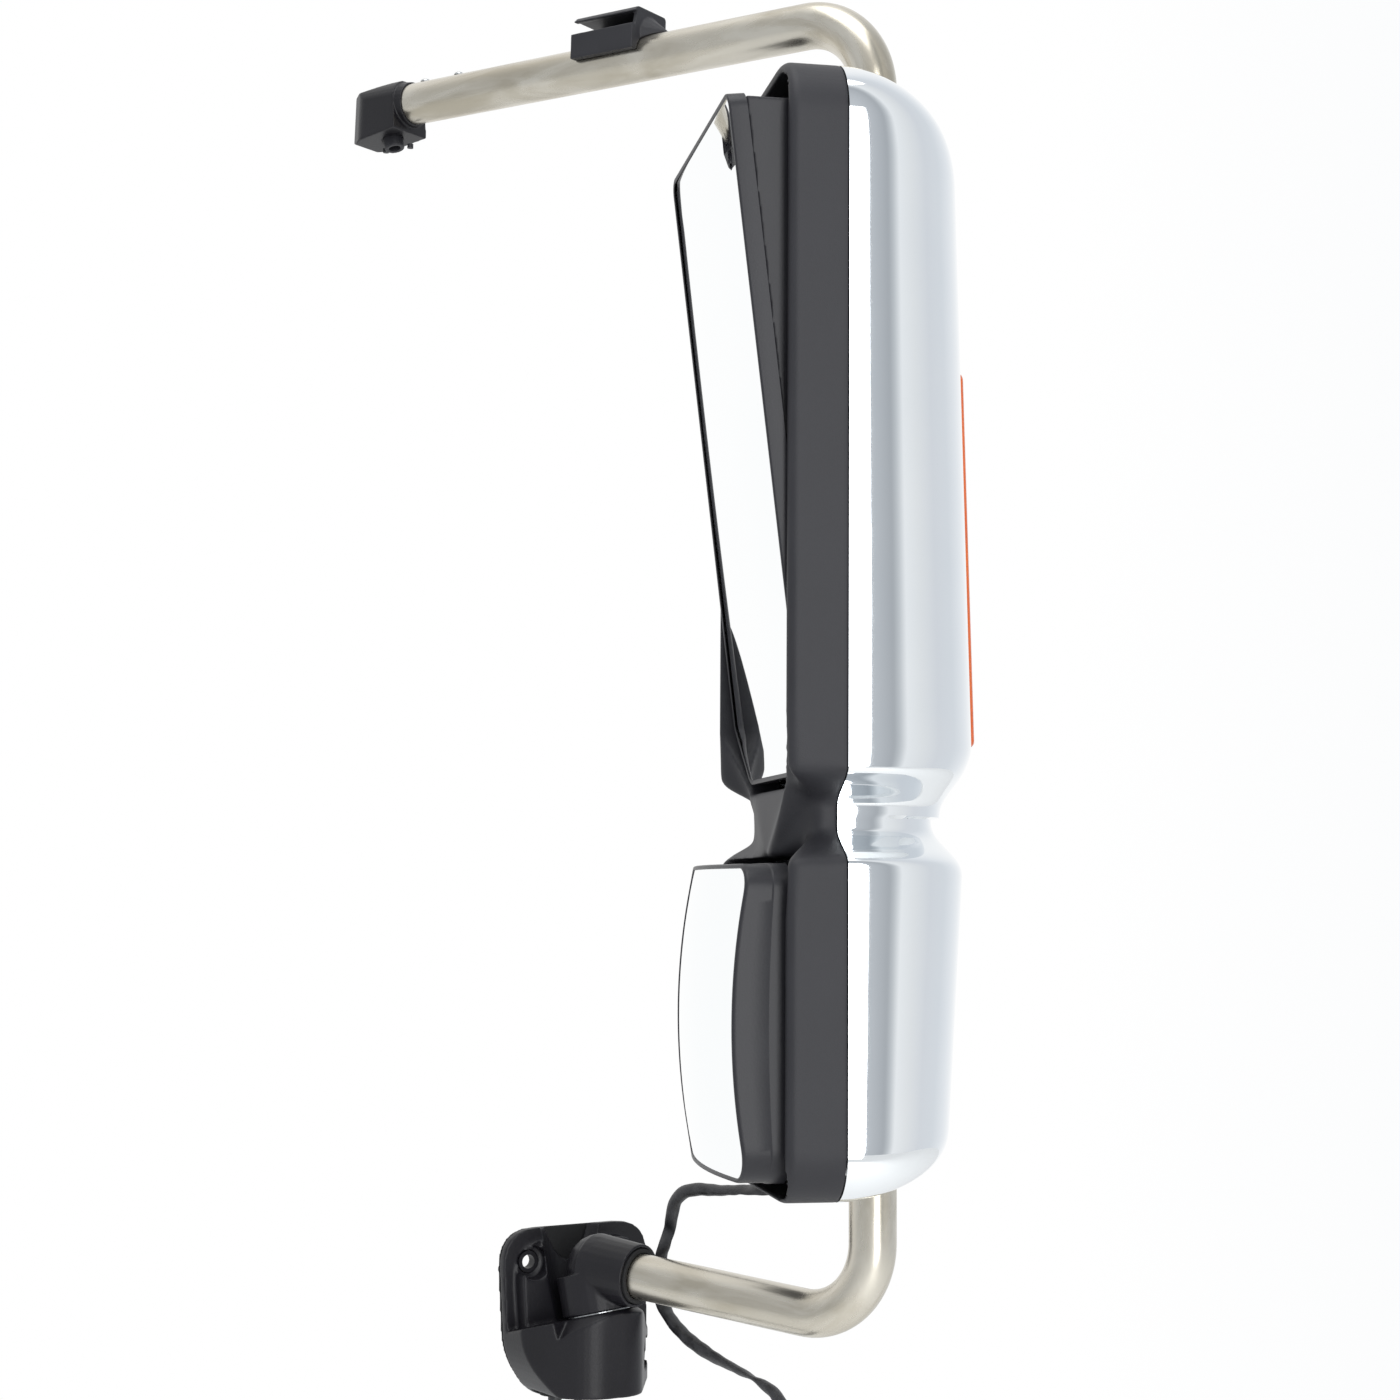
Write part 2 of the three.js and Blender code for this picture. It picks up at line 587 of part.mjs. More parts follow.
// The chrome's back flares out over taller flanks than the sides do.
const backWaist = (z) => {
  const flank = BACK_FLANK[z > WAIST_Z ? 1 : 0];
  return (1 + Math.cos(Math.PI * Math.min(1, Math.abs(z - WAIST_Z) / flank))) / 2;
};

// Half width of the head's outline, drawn in by inset all round.
function halfWidth(z, inset = 0) {
  const w = HEAD_HALF_W - WAIST_PINCH * waist(z) - inset;
  const top = HEAD_TOP - inset;
  const bottom = HEAD_BOTTOM + inset;
  const roundEnd = (past, radius) => radius - Math.sqrt(Math.max(0, radius * radius - past * past));
  const overTop = Math.max(0, z - (top - CORNER_R_TOP + inset));
  const overBottom = Math.max(0, bottom + CORNER_R_BOTTOM - inset - z);
  return w - roundEnd(overTop, CORNER_R_TOP - inset) - roundEnd(overBottom, CORNER_R_BOTTOM - inset);
}

// Crown of the chrome over the parting plane.
function backDepth(z, inset = 0) {
  const crown = z > WAIST_Z ? 50.5 - 0.03 * (z - 388) : 44.5 - 0.06 * (268 - z);
  const full = crown - PARTING - BACK_SINK * backWaist(z) - inset;
  const top = HEAD_TOP - inset;
  const bottom = HEAD_BOTTOM + inset;
  const ease = (past, reach) => (1 - Math.min(1, Math.max(0, past / reach)) ** SHOULDER_POWER) ** (1 / SHOULDER_POWER);
  return full * ease(z - (top - SHOULDER_TOP), SHOULDER_TOP) * ease(bottom + SHOULDER_BOTTOM - z, SHOULDER_BOTTOM);
}

// Heights for the lofts, closer where the shape turns.
function levels(bottom, top) {
  const steps = [];
  const turn = (reach, count, put) => {
    for (let k = 0; k <= count; k += 1) steps.push(put(reach * (1 - Math.cos((Math.PI / 2) * (k / count)))));
  };
  turn(SHOULDER_BOTTOM, 5, (d) => bottom + d);
  for (let k = 0; k <= 4; k += 1) {
    const d = WAIST_FLAT + (WAIST_FLANK * k) / 4;
    steps.push(WAIST_Z - d, WAIST_Z + d);
  }
  steps.push(WAIST_Z - BACK_FLANK[0], WAIST_Z + BACK_FLANK[1] - 6, WAIST_Z + BACK_FLANK[1] + 3, 500);
  steps.push((bottom + SHOULDER_BOTTOM + WAIST_Z - WAIST_FLANK) / 2);
  turn(SHOULDER_TOP, 6, (d) => top - d);
  return steps.sort((a, b) => a - b).filter((z, i, all) => i === 0 || z - all[i - 1] > 0.4);
}

function domeRing(z, inset, front, sides) {
  const w = halfWidth(z, inset);
  const depth = backDepth(z, inset);
  const ring = [];
  for (let i = 0; i <= sides; i += 1) {
    const angle = (Math.PI * i) / sides;
    const y = -w * Math.sign(Math.cos(angle)) * Math.abs(Math.cos(angle)) ** (2 / BACK_POWER);
    const x = PARTING + depth * Math.sin(angle) ** (2 / BACK_POWER);
    ring.push(new THREE.Vector3(x, y, z));
  }
  ring.push(new THREE.Vector3(front, w, z), new THREE.Vector3(front, -w, z));
  return ring;
}

function chromeSolid(inset, front) {
  return loft(levels(HEAD_BOTTOM + inset + 0.05, HEAD_TOP - inset - 0.05)
    .map((z) => domeRing(z, inset, front, 18)));
}

function bezelRing(z) {
  const w = halfWidth(z);
  const lip = LIP + WAIST_SINK * waist(z);
  const r = LIP_R;
  const ring = [new THREE.Vector3(PARTING - GAP, -w, z)];
  const corner = (side) => {
    for (let k = 0; k <= 3; k += 1) {
      const angle = (Math.PI / 2) * (side < 0 ? k / 3 : 1 - k / 3);
      ring.push(new THREE.Vector3(lip + r - r * Math.sin(angle), side * (w - r + r * Math.cos(angle)), z));
    }
  };
  corner(-1);
  corner(1);
  ring.push(new THREE.Vector3(PARTING - GAP, w, z));
  return ring;
}

// Openings of the bezel as (y, z) outlines.
const openHalf = HEAD_HALF_W - BEZEL_WALL;
const upperOpening = outline([
  [-openHalf, HEAD_TOP - 8, 24], [-openHalf, FLAT_BOTTOM + 30, 14], [-openHalf + 30, FLAT_BOTTOM - 7, 14],
  [openHalf - 30, FLAT_BOTTOM - 7, 14], [openHalf, FLAT_BOTTOM + 30, 14], [openHalf, HEAD_TOP - 8, 24],
]);
const lowerOpening = outline([
  [-openHalf, CONVEX_TOP + 5, 14], [-openHalf, HEAD_BOTTOM + 3, 20], [openHalf, HEAD_BOTTOM + 3, 20],
  [openHalf, CONVEX_TOP + 5, 14],
]);

function buildShells() {
  const front = loft(levels(HEAD_BOTTOM + 0.05, HEAD_TOP - 0.05).map((z) => bezelRing(z).reverse()));
  const waistPocket = panel(outline([
    [-62, WAIST_Z - 18, 6], [62, WAIST_Z - 18, 6], [62, WAIST_Z + 12, 6], [-62, WAIST_Z + 12, 6]]), -51, -30);
  const bezel = subtractAll(front, [panel(upperOpening, -120, 0), panel(lowerOpening, -120, 0), waistPocket]);
  addMesh(headFrame, 'bezel', bezel, mouldedBlack);

  const lensMid = (LENS_Z[0] + LENS_Z[1]) / 2;
  const lensHalf = (LENS_Z[1] - LENS_Z[0]) / 2;
  const tubeHole = post(tubeR + 1.5, HEAD_BOTTOM - 20, HEAD_TOP + 20, 0, 0, 28);
  const lensWindow = panel(outline([
    [-LENS_HALF_W, LENS_Z[0], 6], [LENS_HALF_W, LENS_Z[0], 6], [LENS_HALF_W, LENS_Z[1], 6],
    [-LENS_HALF_W, LENS_Z[1], 6]]), 20, 90);
  const harnessHole = post(8, HEAD_BOTTOM - 5, HEAD_BOTTOM + 20, HARNESS_EXIT[0], HARNESS_EXIT[1], 18);
  const shell = subtractAll(chromeSolid(0, PARTING), [
    chromeSolid(SHELL_T, PARTING - 10), tubeHole, lensWindow, harnessHole]);
  addMesh(headFrame, 'chrome_shell', shell, chrome);

  // Lens: the chrome's own surface carried outwards, cut to the window.
  const inWindow = panel(outline([
    [-LENS_HALF_W + GAP, LENS_Z[0] + GAP, 6], [LENS_HALF_W - GAP, LENS_Z[0] + GAP, 6],
    [LENS_HALF_W - GAP, LENS_Z[1] - GAP, 6], [-LENS_HALF_W + GAP, LENS_Z[1] - GAP, 6]]), 20, 90);
  const bulge = solid(new THREE.SphereGeometry(1, 16, 24)
    .scale(16 + LENS_PROUD, LENS_HALF_W * 1.9, lensHalf * 2.2).rotateY(-0.03)
    .translate(backDepth(lensMid) + PARTING - 16, 0, lensMid));
  const lens = inWindow.intersect(bulge).subtract(block(-100, 42, -50, 50, 0, 900));
  addMesh(headFrame, 'marker_lens', lens, amber);
  const board = block(38, 39.6, -9, 9, LENS_Z[0] + 6, LENS_Z[1] - 6);
  addMesh(headFrame, 'marker_lamp_board', board, boardGreen);
  for (let k = 0; k < 3; k += 1) {
    const z = LENS_Z[0] + 36 + (k * (LENS_Z[1] - LENS_Z[0] - 72)) / 2;
    addMesh(headFrame, `marker_led_${k + 1}`, block(39.6 + GAP, 41.4, -2.5, 2.5, z - 2.5, z + 2.5), amber);
  }
}

// ---------------------------------------------------------------- inside the head

const HARNESS_EXIT = [-12, 30];
const flatMidZ = (FLAT_BOTTOM + FLAT_TOP) / 2;
const convexMidZ = (CONVEX_BOTTOM + CONVEX_TOP) / 2;

function buildCarrier() {
  const zs = levels(HEAD_BOTTOM + 8, HEAD_TOP - 8);
  // Half the room inside the chrome at the plate's rear face.
  const room = (z) => {
    const share = Math.min(1, (PLATE_FRONT + PLATE_T - PARTING) / Math.max(1, backDepth(z, SHELL_T)));
    return halfWidth(z, SHELL_T) * (1 - share ** BACK_POWER) ** (1 / BACK_POWER) - 4;
  };
  const side = (sign) => zs.map((z) => [sign * Math.min(halfWidth(z, 7), room(z)), z]);
  const shape = new THREE.Shape();
  [...side(1), ...side(-1).reverse()].forEach(([y, z], i) => (i ? shape.lineTo(y, z) : shape.moveTo(y, z)));
  const back = PLATE_FRONT + PLATE_T;
  const plate = panel(shape, PLATE_FRONT, back);
  const slotH = 46;
  const lightening = [430, 600].map((z) => panel(outline([
    [-80, z - slotH / 2, 8], [-54, z - slotH / 2, 8], [-54, z + slotH / 2, 8], [-80, z + slotH / 2, 8]]), -60, 10));
  const twin = [430, 600].map((z) => panel(outline([
    [54, z - slotH / 2, 8], [80, z - slotH / 2, 8], [80, z + slotH / 2, 8], [54, z + slotH / 2, 8]]), -60, 10));
  const wireSlot = rod(9, 9, -60, 10, 58, 250, 20);
  addMesh(headFrame, 'carrier_plate', subtractAll(plate, [...lightening, ...twin, wireSlot]), mouldedBlack);

  CLAMP_Z.forEach((z, i) => {
    const level = i === 0 ? 'upper' : 'lower';
    const bore = post(tubeR + GAP, z - 60, z + 60);
    const boltAt = [[-23, 0], [23, 0]];
    const holes = (r) => boltAt.map(([y, dz]) => rod(r, r, -12, 40, y, z + dz, 12));
    const saddle = subtractAll(block(back + GAP, -0.6, -31, 31, z - 17, z + 17), [bore, ...holes(2.5 + GAP)]);
    addMesh(headFrame, `${level}_clamp_saddle`, saddle, zincSteel);
    const cap = subtractAll(block(0.6, 19.5, -31, 31, z - 17, z + 17), [bore, ...holes(2.5 + GAP)]);
    addMesh(headFrame, `${level}_clamp_cap`, cap, zincSteel);
    boltAt.forEach(([y, dz], k) => {
      const bolt = rod(2.5, 2.5, -11.5, 20, y, z + dz, 12).add(rod(4.6, 4.6, 19.5 + GAP, 23.5, y, z + dz, 6));
      addMesh(headFrame, `${level}_clamp_bolt_${k + 1}`, bolt, zincSteel);
    });
  });
}

// Power unit that tilts a glass: a round case with a swivel post, a gimbal ring round the post's
// tip, and two jack screws that reach the glass's backing.
function buildMotor(name, z, pivotX, reach) {
  const radius = MOTOR_D / 2;
  const seats = [['tilt', 0, z - SCREW_ARM], ['pan', SCREW_ARM, z]];
  const wells = seats.map(([, y, sz]) => rod(5 + GAP, 5 + GAP, MOTOR_FACE - 5, PLATE_FRONT - 6, y, sz, 16));
  const motorCase = subtractAll(rod(radius - 5, radius, MOTOR_FACE, PLATE_FRONT - GAP, 0, z, 28), wells);
  const swivelPost = rod(5, 9, pivotX, MOTOR_FACE + 1, 0, z, 16);
  addMesh(headFrame, `${name}_motor_case`, motorCase.add(swivelPost), mouldedBlack);
  const ring = rod(15, 15, pivotX - 3, pivotX + 3, 0, z, 24).subtract(rod(10, 10, pivotX - 9, pivotX + 9, 0, z, 24));
  addMesh(headFrame, `${name}_gimbal_ring`, ring, satinBlack);
  seats.forEach(([axis, y, sz], i) => {
    const screw = rod(2.5, 5, reach[i], reach[i] + 4, y, sz, 12)
      .add(rod(5, 5, reach[i] + 4, MOTOR_FACE + 14, y, sz, 12));
    addMesh(headFrame, `${name}_${axis}_screw`, screw, satinBlack);
  });
}

// ---------------------------------------------------------------- flat glass

const flatHalfH = (FLAT_TOP - FLAT_BOTTOM) / 2 / Math.cos(FLAT_LEAN);

function flatOutline(grow) {
  const w = FLAT_HALF_W + grow;
  const h = flatHalfH + grow;
  const [across, up] = FLAT_CHAMFER;
  return outline([[-w, h, 9], [-w, -h + up, 10], [-w + across, -h, 10], [w - across, -h, 10], [w, -h + up, 10], [w, h, 9]]);
}

function buildFlatGlass() {
  const frame = new THREE.Group();
  frame.position.set(FLAT_FACE, 0, flatMidZ);
  frame.rotation.y = -FLAT_LEAN;
  headFrame.add(frame);
  const pocket = GLASS_T + HEATER_T + 3 * GAP;

  addMesh(frame, 'flat_glass', panel(flatOutline(0), 0, GLASS_T), silvered);
  addMesh(frame, 'flat_heater', panel(flatOutline(-6), GLASS_T + GAP, GLASS_T + GAP + HEATER_T), heaterFilm);

  const rim = panel(flatOutline(RIM), -0.6, RIM_DEPTH);
  const opening = panel(flatOutline(-RIM), -5, 1);
  const seat = panel(flatOutline(GAP), -GAP, pocket);
  const hollow = panel(flatOutline(-2), pocket + 2.2, RIM_DEPTH + 5);
  addMesh(frame, 'flat_holder', subtractAll(rim, [opening, seat, hollow]), satinBlack);

  // Wedge-shaped backing: deep at the top, nothing at the bottom.
  const wedgeSide = new THREE.Shape();
  wedgeSide.moveTo(RIM_DEPTH + GAP, -flatHalfH + 60);
  wedgeSide.lineTo(RIM_DEPTH + GAP, flatHalfH - 1);
  wedgeSide.lineTo(BACKING_DEPTH, flatHalfH - 4);
  wedgeSide.lineTo(RIM_DEPTH + 4, -flatHalfH + 60);
  wedgeSide.closePath();
  const across = (half) => {
    const geometry = new THREE.ExtrudeGeometry(wedgeSide, { depth: 2 * half, bevelEnabled: false });
    geometry.rotateX(Math.PI / 2);
    geometry.translate(0, half, 0);
    return solid(geometry);
  };
  const room = rod(MOTOR_D / 2 + 8, MOTOR_D / 2 + 8, RIM_DEPTH + 3, 90, 0, 0, 32);
  const core = block(RIM_DEPTH + 3, 90, -FLAT_HALF_W + 9, FLAT_HALF_W - 9, 20, flatHalfH - 9);
  const backing = subtractAll(across(FLAT_HALF_W - 3), [room, core]);
  addMesh(frame, 'flat_backing', backing, satinBlack);
  return frame;
}

// ---------------------------------------------------------------- convex glass

function convexOutline(grow) {
  const w = CONVEX_HALF_W + grow;
  const h = (CONVEX_TOP - CONVEX_BOTTOM) / 2 + grow;
  return outline([[-w, h, 16], [-w, -h, 20], [w, -h, 20], [w, h, 16]]);
}

const domeFall = (y, z) => CONVEX_R - Math.sqrt(CONVEX_R ** 2 - y * y - z * z);

// Slab under the dome: its front lies frontDrop behind the dome and its back either follows the
// dome backDrop behind it or, where backAt is given, is flat there.
function domed(shape, frontDrop, backDrop, backAt = null) {
  const rim = shape.getPoints(4).slice(0, -1);
  const scales = [0.04, 0.4, 0.75, 1];
  const frontX = (y, z) => frontDrop + domeFall(y, z);
  const backX = (y, z) => (backAt === null ? backDrop + domeFall(y, z) : backAt);
  const ringAt = (scale, x) => rim.map((p) => new THREE.Vector3(x(p.x * scale, p.y * scale), p.x * scale, p.y * scale));
  const rings = [...scales.map((s) => ringAt(s, frontX)), ...scales.slice().reverse().map((s) => ringAt(s, backX))];
  const area = THREE.ShapeUtils.area(rim);
  return loft(area > 0 ? rings : rings.map((ring) => ring.slice().reverse()));
}

function buildConvexGlass() {
  const frame = new THREE.Group();
  frame.position.set(CONVEX_FACE, 0, convexMidZ);
  headFrame.add(frame);
  addMesh(frame, 'convex_glass', domed(convexOutline(0), 0, GLASS_T), silvered);
  const heaterFront = GLASS_T + 2 * GAP;
  addMesh(frame, 'convex_heater', domed(convexOutline(-6), heaterFront, heaterFront + HEATER_T), heaterFilm);
  const depth = CONVEX_BACK - CONVEX_FACE;
  const seatFloor = heaterFront + HEATER_T + 2 * GAP;
  const holder = subtractAll(domed(convexOutline(RIM), -0.4, 0, depth), [
    domed(convexOutline(-RIM), -9, 0.4),
    domed(convexOutline(GAP), -GAP, seatFloor),
    domed(convexOutline(-2), seatFloor + 2.4, 0, depth + 5)]);
  addMesh(frame, 'convex_holder', holder, satinBlack);
  return frame;
}

buildShells();
buildCarrier();
buildFlatGlass();
buildConvexGlass();

const leanAt = (dz) => dz * Math.tan(FLAT_LEAN);
const flatWebBack = FLAT_FACE + RIM_DEPTH + 3;
const TIP_GAP = 1.5;              // jack screw tip to backing
buildMotor('flat', flatMidZ, FLAT_FACE + SWIVEL_BACK,
  [flatWebBack + leanAt(SCREW_ARM) + TIP_GAP, flatWebBack + TIP_GAP + 0.3]);
const convexWebBack = CONVEX_FACE + GLASS_T + HEATER_T + 4 * GAP + 2.4 + domeFall(0, SCREW_ARM);
buildMotor('convex', convexMidZ, CONVEX_FACE + CONVEX_SWIVEL_BACK, [convexWebBack + TIP_GAP, convexWebBack + TIP_GAP]);

// ---------------------------------------------------------------- harness and ground wire

// Where the harness runs: out of the head, behind the lower arm, then under the base in a
// hanging loop and up into the base. Points in the loop frame.
const HARNESS_UPPER = [
  [-30, 12, 97], [-30.5, 12.5, 93], [-34, 13.5, 90], [-42, 15.5, 88.5], [-56, 18.5, 88], [-74, 21, 87.8],
  [-95, 23, 86.8], [-115, 25, 84.6], [-133, 27, 82.6], [-149, 28, 82], [-160, 28, 79.8], [-167, 28, 75],
  [-170.6, 28, 67.5], [-172.6, 28, 57.5], [-175.8, 28, 48], [-179.2, 28, 39.5], [-180.8, 28, 31]];
const HARNESS_LOWER = [
  [-181, 28, 30], [-181.2, 28, 20], [-179.8, 28, 10], [-175, 27.5, 2], [-167, 26, -5], [-154, 24.5, -13],
  [-136, 22.5, -20], [-116, 20.5, -25.5], [-97, 18.5, -30.5], [-80, 15, -37], [-70, 9, -47], [-68, 0, -60],
  [-73, -10, -73], [-86, -20, -84], [-104, -28, -92], [-126, -33, -97], [-150, -34, -99], [-174, -32, -98],
  [-196, -27, -95], [-214, -21, -89]];

// Ground wire, from under the base, hanging to its ring terminal. Points in the mirror's frame.
const GROUND_WIRE = [
  [20, -9, -47], [20, -8.6, -51], [20.4, -5, -56], [21, 2, -61.5], [22, 9, -67.5], [23, 14, -75], [23.6, 16.5, -84],
  [23.8, 17, -94], [23.8, 17, -104], [23.8, 17, -114], [23.8, 17, -124], [23.8, 17, -134]];

const loopPoint = ([x, y, z]) => new THREE.Vector3(x, y, z);

function buildCords() {
  const splitAt = (points) => new THREE.CatmullRomCurve3(points.map(loopPoint));
  addMesh(loopFrame, 'harness_upper', pipe(splitAt(HARNESS_UPPER), HARNESS_D / 2, 24, 8), sleeve);
  const lastUnder = new THREE.Vector3(...BASE_LEAD, 0).applyMatrix4(loopFrame.matrixWorld.clone().invert());
  const climb = [[8, -3, -80], [2, -1, -69], [0, 0, -59], [0, 0, boxFloor - 3 - GAP]];
  const tail = climb.map(([dx, dy, z]) => [lastUnder.x + dx, lastUnder.y + dy, z]);
  addMesh(loopFrame, 'harness_lower', pipe(splitAt([...HARNESS_LOWER, ...tail]), HARNESS_D / 2, 44, 8), sleeve);
  addMesh(mirror, 'ground_wire', pipe(splitAt(GROUND_WIRE), GROUND_D / 2, 20, 8), sleeve);
  const [endX, endY, endZ] = GROUND_WIRE[GROUND_WIRE.length - 1];
  const eyeZ = endZ - 14;
  const terminal = rod(4.2, 4.2, endX - 0.5, endX + 0.5, endY, eyeZ, 20)
    .add(block(endX - 0.5, endX + 0.5, endY - 1.8, endY + 1.8, eyeZ + 2, endZ - 5))
    .subtract(rod(2.2, 2.2, endX - 5, endX + 5, endY, eyeZ, 16))
    .add(post(GROUND_D / 2 + 0.6, endZ - 8, endZ - GAP, endX, endY, 12));
  addMesh(mirror, 'ring_terminal', terminal, zincSteel);
}

mirror.updateMatrixWorld(true);
buildCords();

export default mirror;
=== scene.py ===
# %% [markdown]
# # A heavy-truck door mirror
# A stainless tube loop folds on a black door base. It carries a chrome-backed head with a flat glass
# above a convex glass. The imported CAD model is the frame: every piece below is made in metres in the
# same place, and either gives a CAD node a better finish or stands in for it with a finer shape.

# %% The frame, and where its parts lie
import json
import math

import bmesh
import bpy
import numpy as np
from mathutils import Matrix, Vector


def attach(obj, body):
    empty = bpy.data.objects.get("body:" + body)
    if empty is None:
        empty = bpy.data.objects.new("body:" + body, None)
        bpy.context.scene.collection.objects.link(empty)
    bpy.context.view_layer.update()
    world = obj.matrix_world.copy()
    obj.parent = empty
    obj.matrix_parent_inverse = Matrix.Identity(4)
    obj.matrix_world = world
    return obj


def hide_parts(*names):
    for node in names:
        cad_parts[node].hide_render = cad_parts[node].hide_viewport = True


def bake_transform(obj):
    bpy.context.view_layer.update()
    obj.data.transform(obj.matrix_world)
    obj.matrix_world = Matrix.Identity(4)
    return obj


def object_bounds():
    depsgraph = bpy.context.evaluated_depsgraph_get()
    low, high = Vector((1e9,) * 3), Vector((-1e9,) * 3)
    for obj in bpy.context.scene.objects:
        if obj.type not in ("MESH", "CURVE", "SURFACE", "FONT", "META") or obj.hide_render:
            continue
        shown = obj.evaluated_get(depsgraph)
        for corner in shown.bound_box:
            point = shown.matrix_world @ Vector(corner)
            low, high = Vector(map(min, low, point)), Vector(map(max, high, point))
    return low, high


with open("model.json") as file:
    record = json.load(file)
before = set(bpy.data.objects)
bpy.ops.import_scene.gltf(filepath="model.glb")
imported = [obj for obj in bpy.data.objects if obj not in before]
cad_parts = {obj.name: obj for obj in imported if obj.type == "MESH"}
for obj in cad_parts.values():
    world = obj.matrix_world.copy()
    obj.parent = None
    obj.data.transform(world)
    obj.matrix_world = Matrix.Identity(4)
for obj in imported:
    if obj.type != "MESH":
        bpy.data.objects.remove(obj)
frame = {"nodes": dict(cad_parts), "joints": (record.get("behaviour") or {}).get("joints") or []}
CAD_BOX = [list(corner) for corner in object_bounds()]
MM = 0.001
JOINTS = {joint["name"]: joint for joint in frame["joints"]}


def upright_frame(origin, yaw):
    """A frame with z up, turned by yaw about z."""
    return Matrix.Translation(origin) @ Matrix.Rotation(yaw, 4, "Z")


swivel = Vector(JOINTS["head_swivel"]["pos_m"])
fold_axis = Vector(JOINTS["arm_fold"]["axis"])
width_axis = Vector(JOINTS["flat_tilt"]["axis"])
ON_TUBE = Vector((swivel.x, swivel.y, 0))
LOOP = upright_frame(ON_TUBE, math.atan2(-fold_axis.y, -fold_axis.x))
HEAD = upright_frame(ON_TUBE, math.atan2(-width_axis.x, width_axis.y))
BASE = Matrix.Identity(4)


def local_box(node, space):
    """Lowest and highest corner of a CAD node in one of the frames above, in millimetres."""
    inverse = space.inverted()
    points = np.array([inverse @ v.co for v in frame["nodes"][node].data.vertices]) / MM
    return points.min(0), points.max(0)


chrome_low, chrome_high = local_box("chrome_shell", HEAD)
print("chrome back, mm:", np.round(chrome_low, 1), np.round(chrome_high, 1))

# %% [markdown]
# ## Camera, floor and light
# A pale floor well below the mirror, which hangs on its door mount, and a soft sky stand in for the
# studio. Chrome shows nothing but its surroundings, so they are what shapes it: a tall soft box gives the
# white strip beside the parting line, a dimmer field next to it the grey band, and the rest of the sky an
# even pale grey that turns white behind the object.

# %% Camera
LOOK = Vector((-0.8333, 0.5480, 0.0726)).normalized()
ROLL = 0.006
camera_data = bpy.data.cameras.new("camera")
camera_data.lens = 62.83
camera_data.sensor_width = 36
camera_data.shift_y = 0.0104
camera = bpy.data.objects.new("camera", camera_data)
bpy.context.scene.collection.objects.link(camera)
camera.location = (1.4078, -0.8250, 0.2717)
camera.rotation_mode = "QUATERNION"
camera.rotation_quaternion = LOOK.to_track_quat("-Z", "Y") @ Matrix.Rotation(ROLL, 3, "Z").to_quaternion()
bpy.context.scene.camera = camera
print("camera at", [round(c, 3) for c in camera.location])

# %% [markdown]
# ## One helper for nodes, one for colours
# Every finish is built from nodes. `add` makes a node, sets its properties and fills its inputs with
# values or with another node's output. `mottled` is what most finishes share: two tones and a change of
# gloss over patches of a real size. Colours are written as sRGB hex and turned to linear in one place.

# %% Node and colour helpers
def paint(code):
    """A hex sRGB colour as linear RGBA."""
    channels = [int(code[i:i + 2], 16) / 255 for i in (0, 2, 4)]
    linear = [c / 12.92 if c <= 0.04045 else ((c + 0.055) / 1.055) ** 2.4 for c in channels]
    return (*linear, 1.0)


def fill(node, inputs):
    """Gives a node's inputs their values, or links them to another node's outputs."""
    for socket, source in inputs.items():
        if isinstance(source, bpy.types.NodeSocket):
            node.id_data.links.new(source, node.inputs[socket])
        else:
            node.inputs[socket].default_value = source


def add(tree, kind, inputs=None, **settings):
    """Adds a node with its settings, and fills its inputs with values or links."""
    node = tree.nodes.new(kind)
    for key, value in settings.items():
        setattr(node, key, value)
    fill(node, inputs or {})
    return node


def finish_of(name, **base):
    """A material with one Principled surface. base gives the sockets that are even all over."""
    material = bpy.data.materials.new(name)
    material.use_nodes = True
    tree = material.node_tree
    tree.nodes.clear()
    surface = add(tree, "ShaderNodeBsdfPrincipled", base)
    add(tree, "ShaderNodeOutputMaterial", {"Surface": surface.outputs["BSDF"]})
    place = add(tree, "ShaderNodeTexCoord").outputs["Object"]
    return material, tree, surface, place


def noise(place, size_mm, detail=2.0, **more):
    """The settings of a noise whose features are about size_mm across."""
    return {"Vector": place, "Scale": 1000 / size_mm, "Detail": detail, **more}


def mottled(name, size_mm, detail, tones, gloss=None, unbent=False, **base):
    """A finish in two tones over patches about size_mm across. tones are (position, colour) pairs, gloss
    the roughness from one patch to the other, and unbent lays the patches along a bent piece."""
    material, tree, surface, place = finish_of(name, **base)
    if unbent:
        place = unbent_place(tree)
    patches = add(tree, "ShaderNodeTexNoise", noise(place, size_mm, detail)).outputs["Fac"]
    tone = add(tree, "ShaderNodeValToRGB", {"Fac": patches})
    for stop, (position, code) in zip(tone.color_ramp.elements, tones):
        stop.position = position
        stop.color = paint(code)
    fill(surface, {"Base Color": tone.outputs["Color"]})
    if gloss:
        shine = add(tree, "ShaderNodeMapRange", {"Value": patches, "To Min": gloss[0], "To Max": gloss[1]})
        fill(surface, {"Roughness": shine.outputs["Result"]})
    return material, tree, surface, place, patches


# %% Sky, lights and floor
# Brightness round the horizon: azimuth from +X towards +Y, and the sky's colour there
SKY = [(-180, "ffffff"), (-150, "ffffff"), (-112, "d4d7db"), (-70, "dadde1"), (-26, "e6e8ea"), (-3, "c0c4c9"),
       (8, "adb1b6"), (12, "c4c8cc"), (18, "eff1f3"), (32, "e6e8ea"), (52, "dadde2"), (78, "dce0e5"),
       (100, "e9ecf0"), (126, "fafbfc"), (138, "ffffff"), (180, "ffffff")]
world = bpy.data.worlds.new("studio")
world.use_nodes = True
sky = world.node_tree
sky.nodes.clear()
toward = add(sky, "ShaderNodeTexCoord").outputs["Generated"]
around = add(sky, "ShaderNodeTexGradient", {"Vector": toward}, gradient_type="RADIAL")
shade = add(sky, "ShaderNodeValToRGB", {"Fac": around.outputs["Fac"]})
stops = shade.color_ramp.elements
while len(stops) < len(SKY):
    stops.new(0.5)
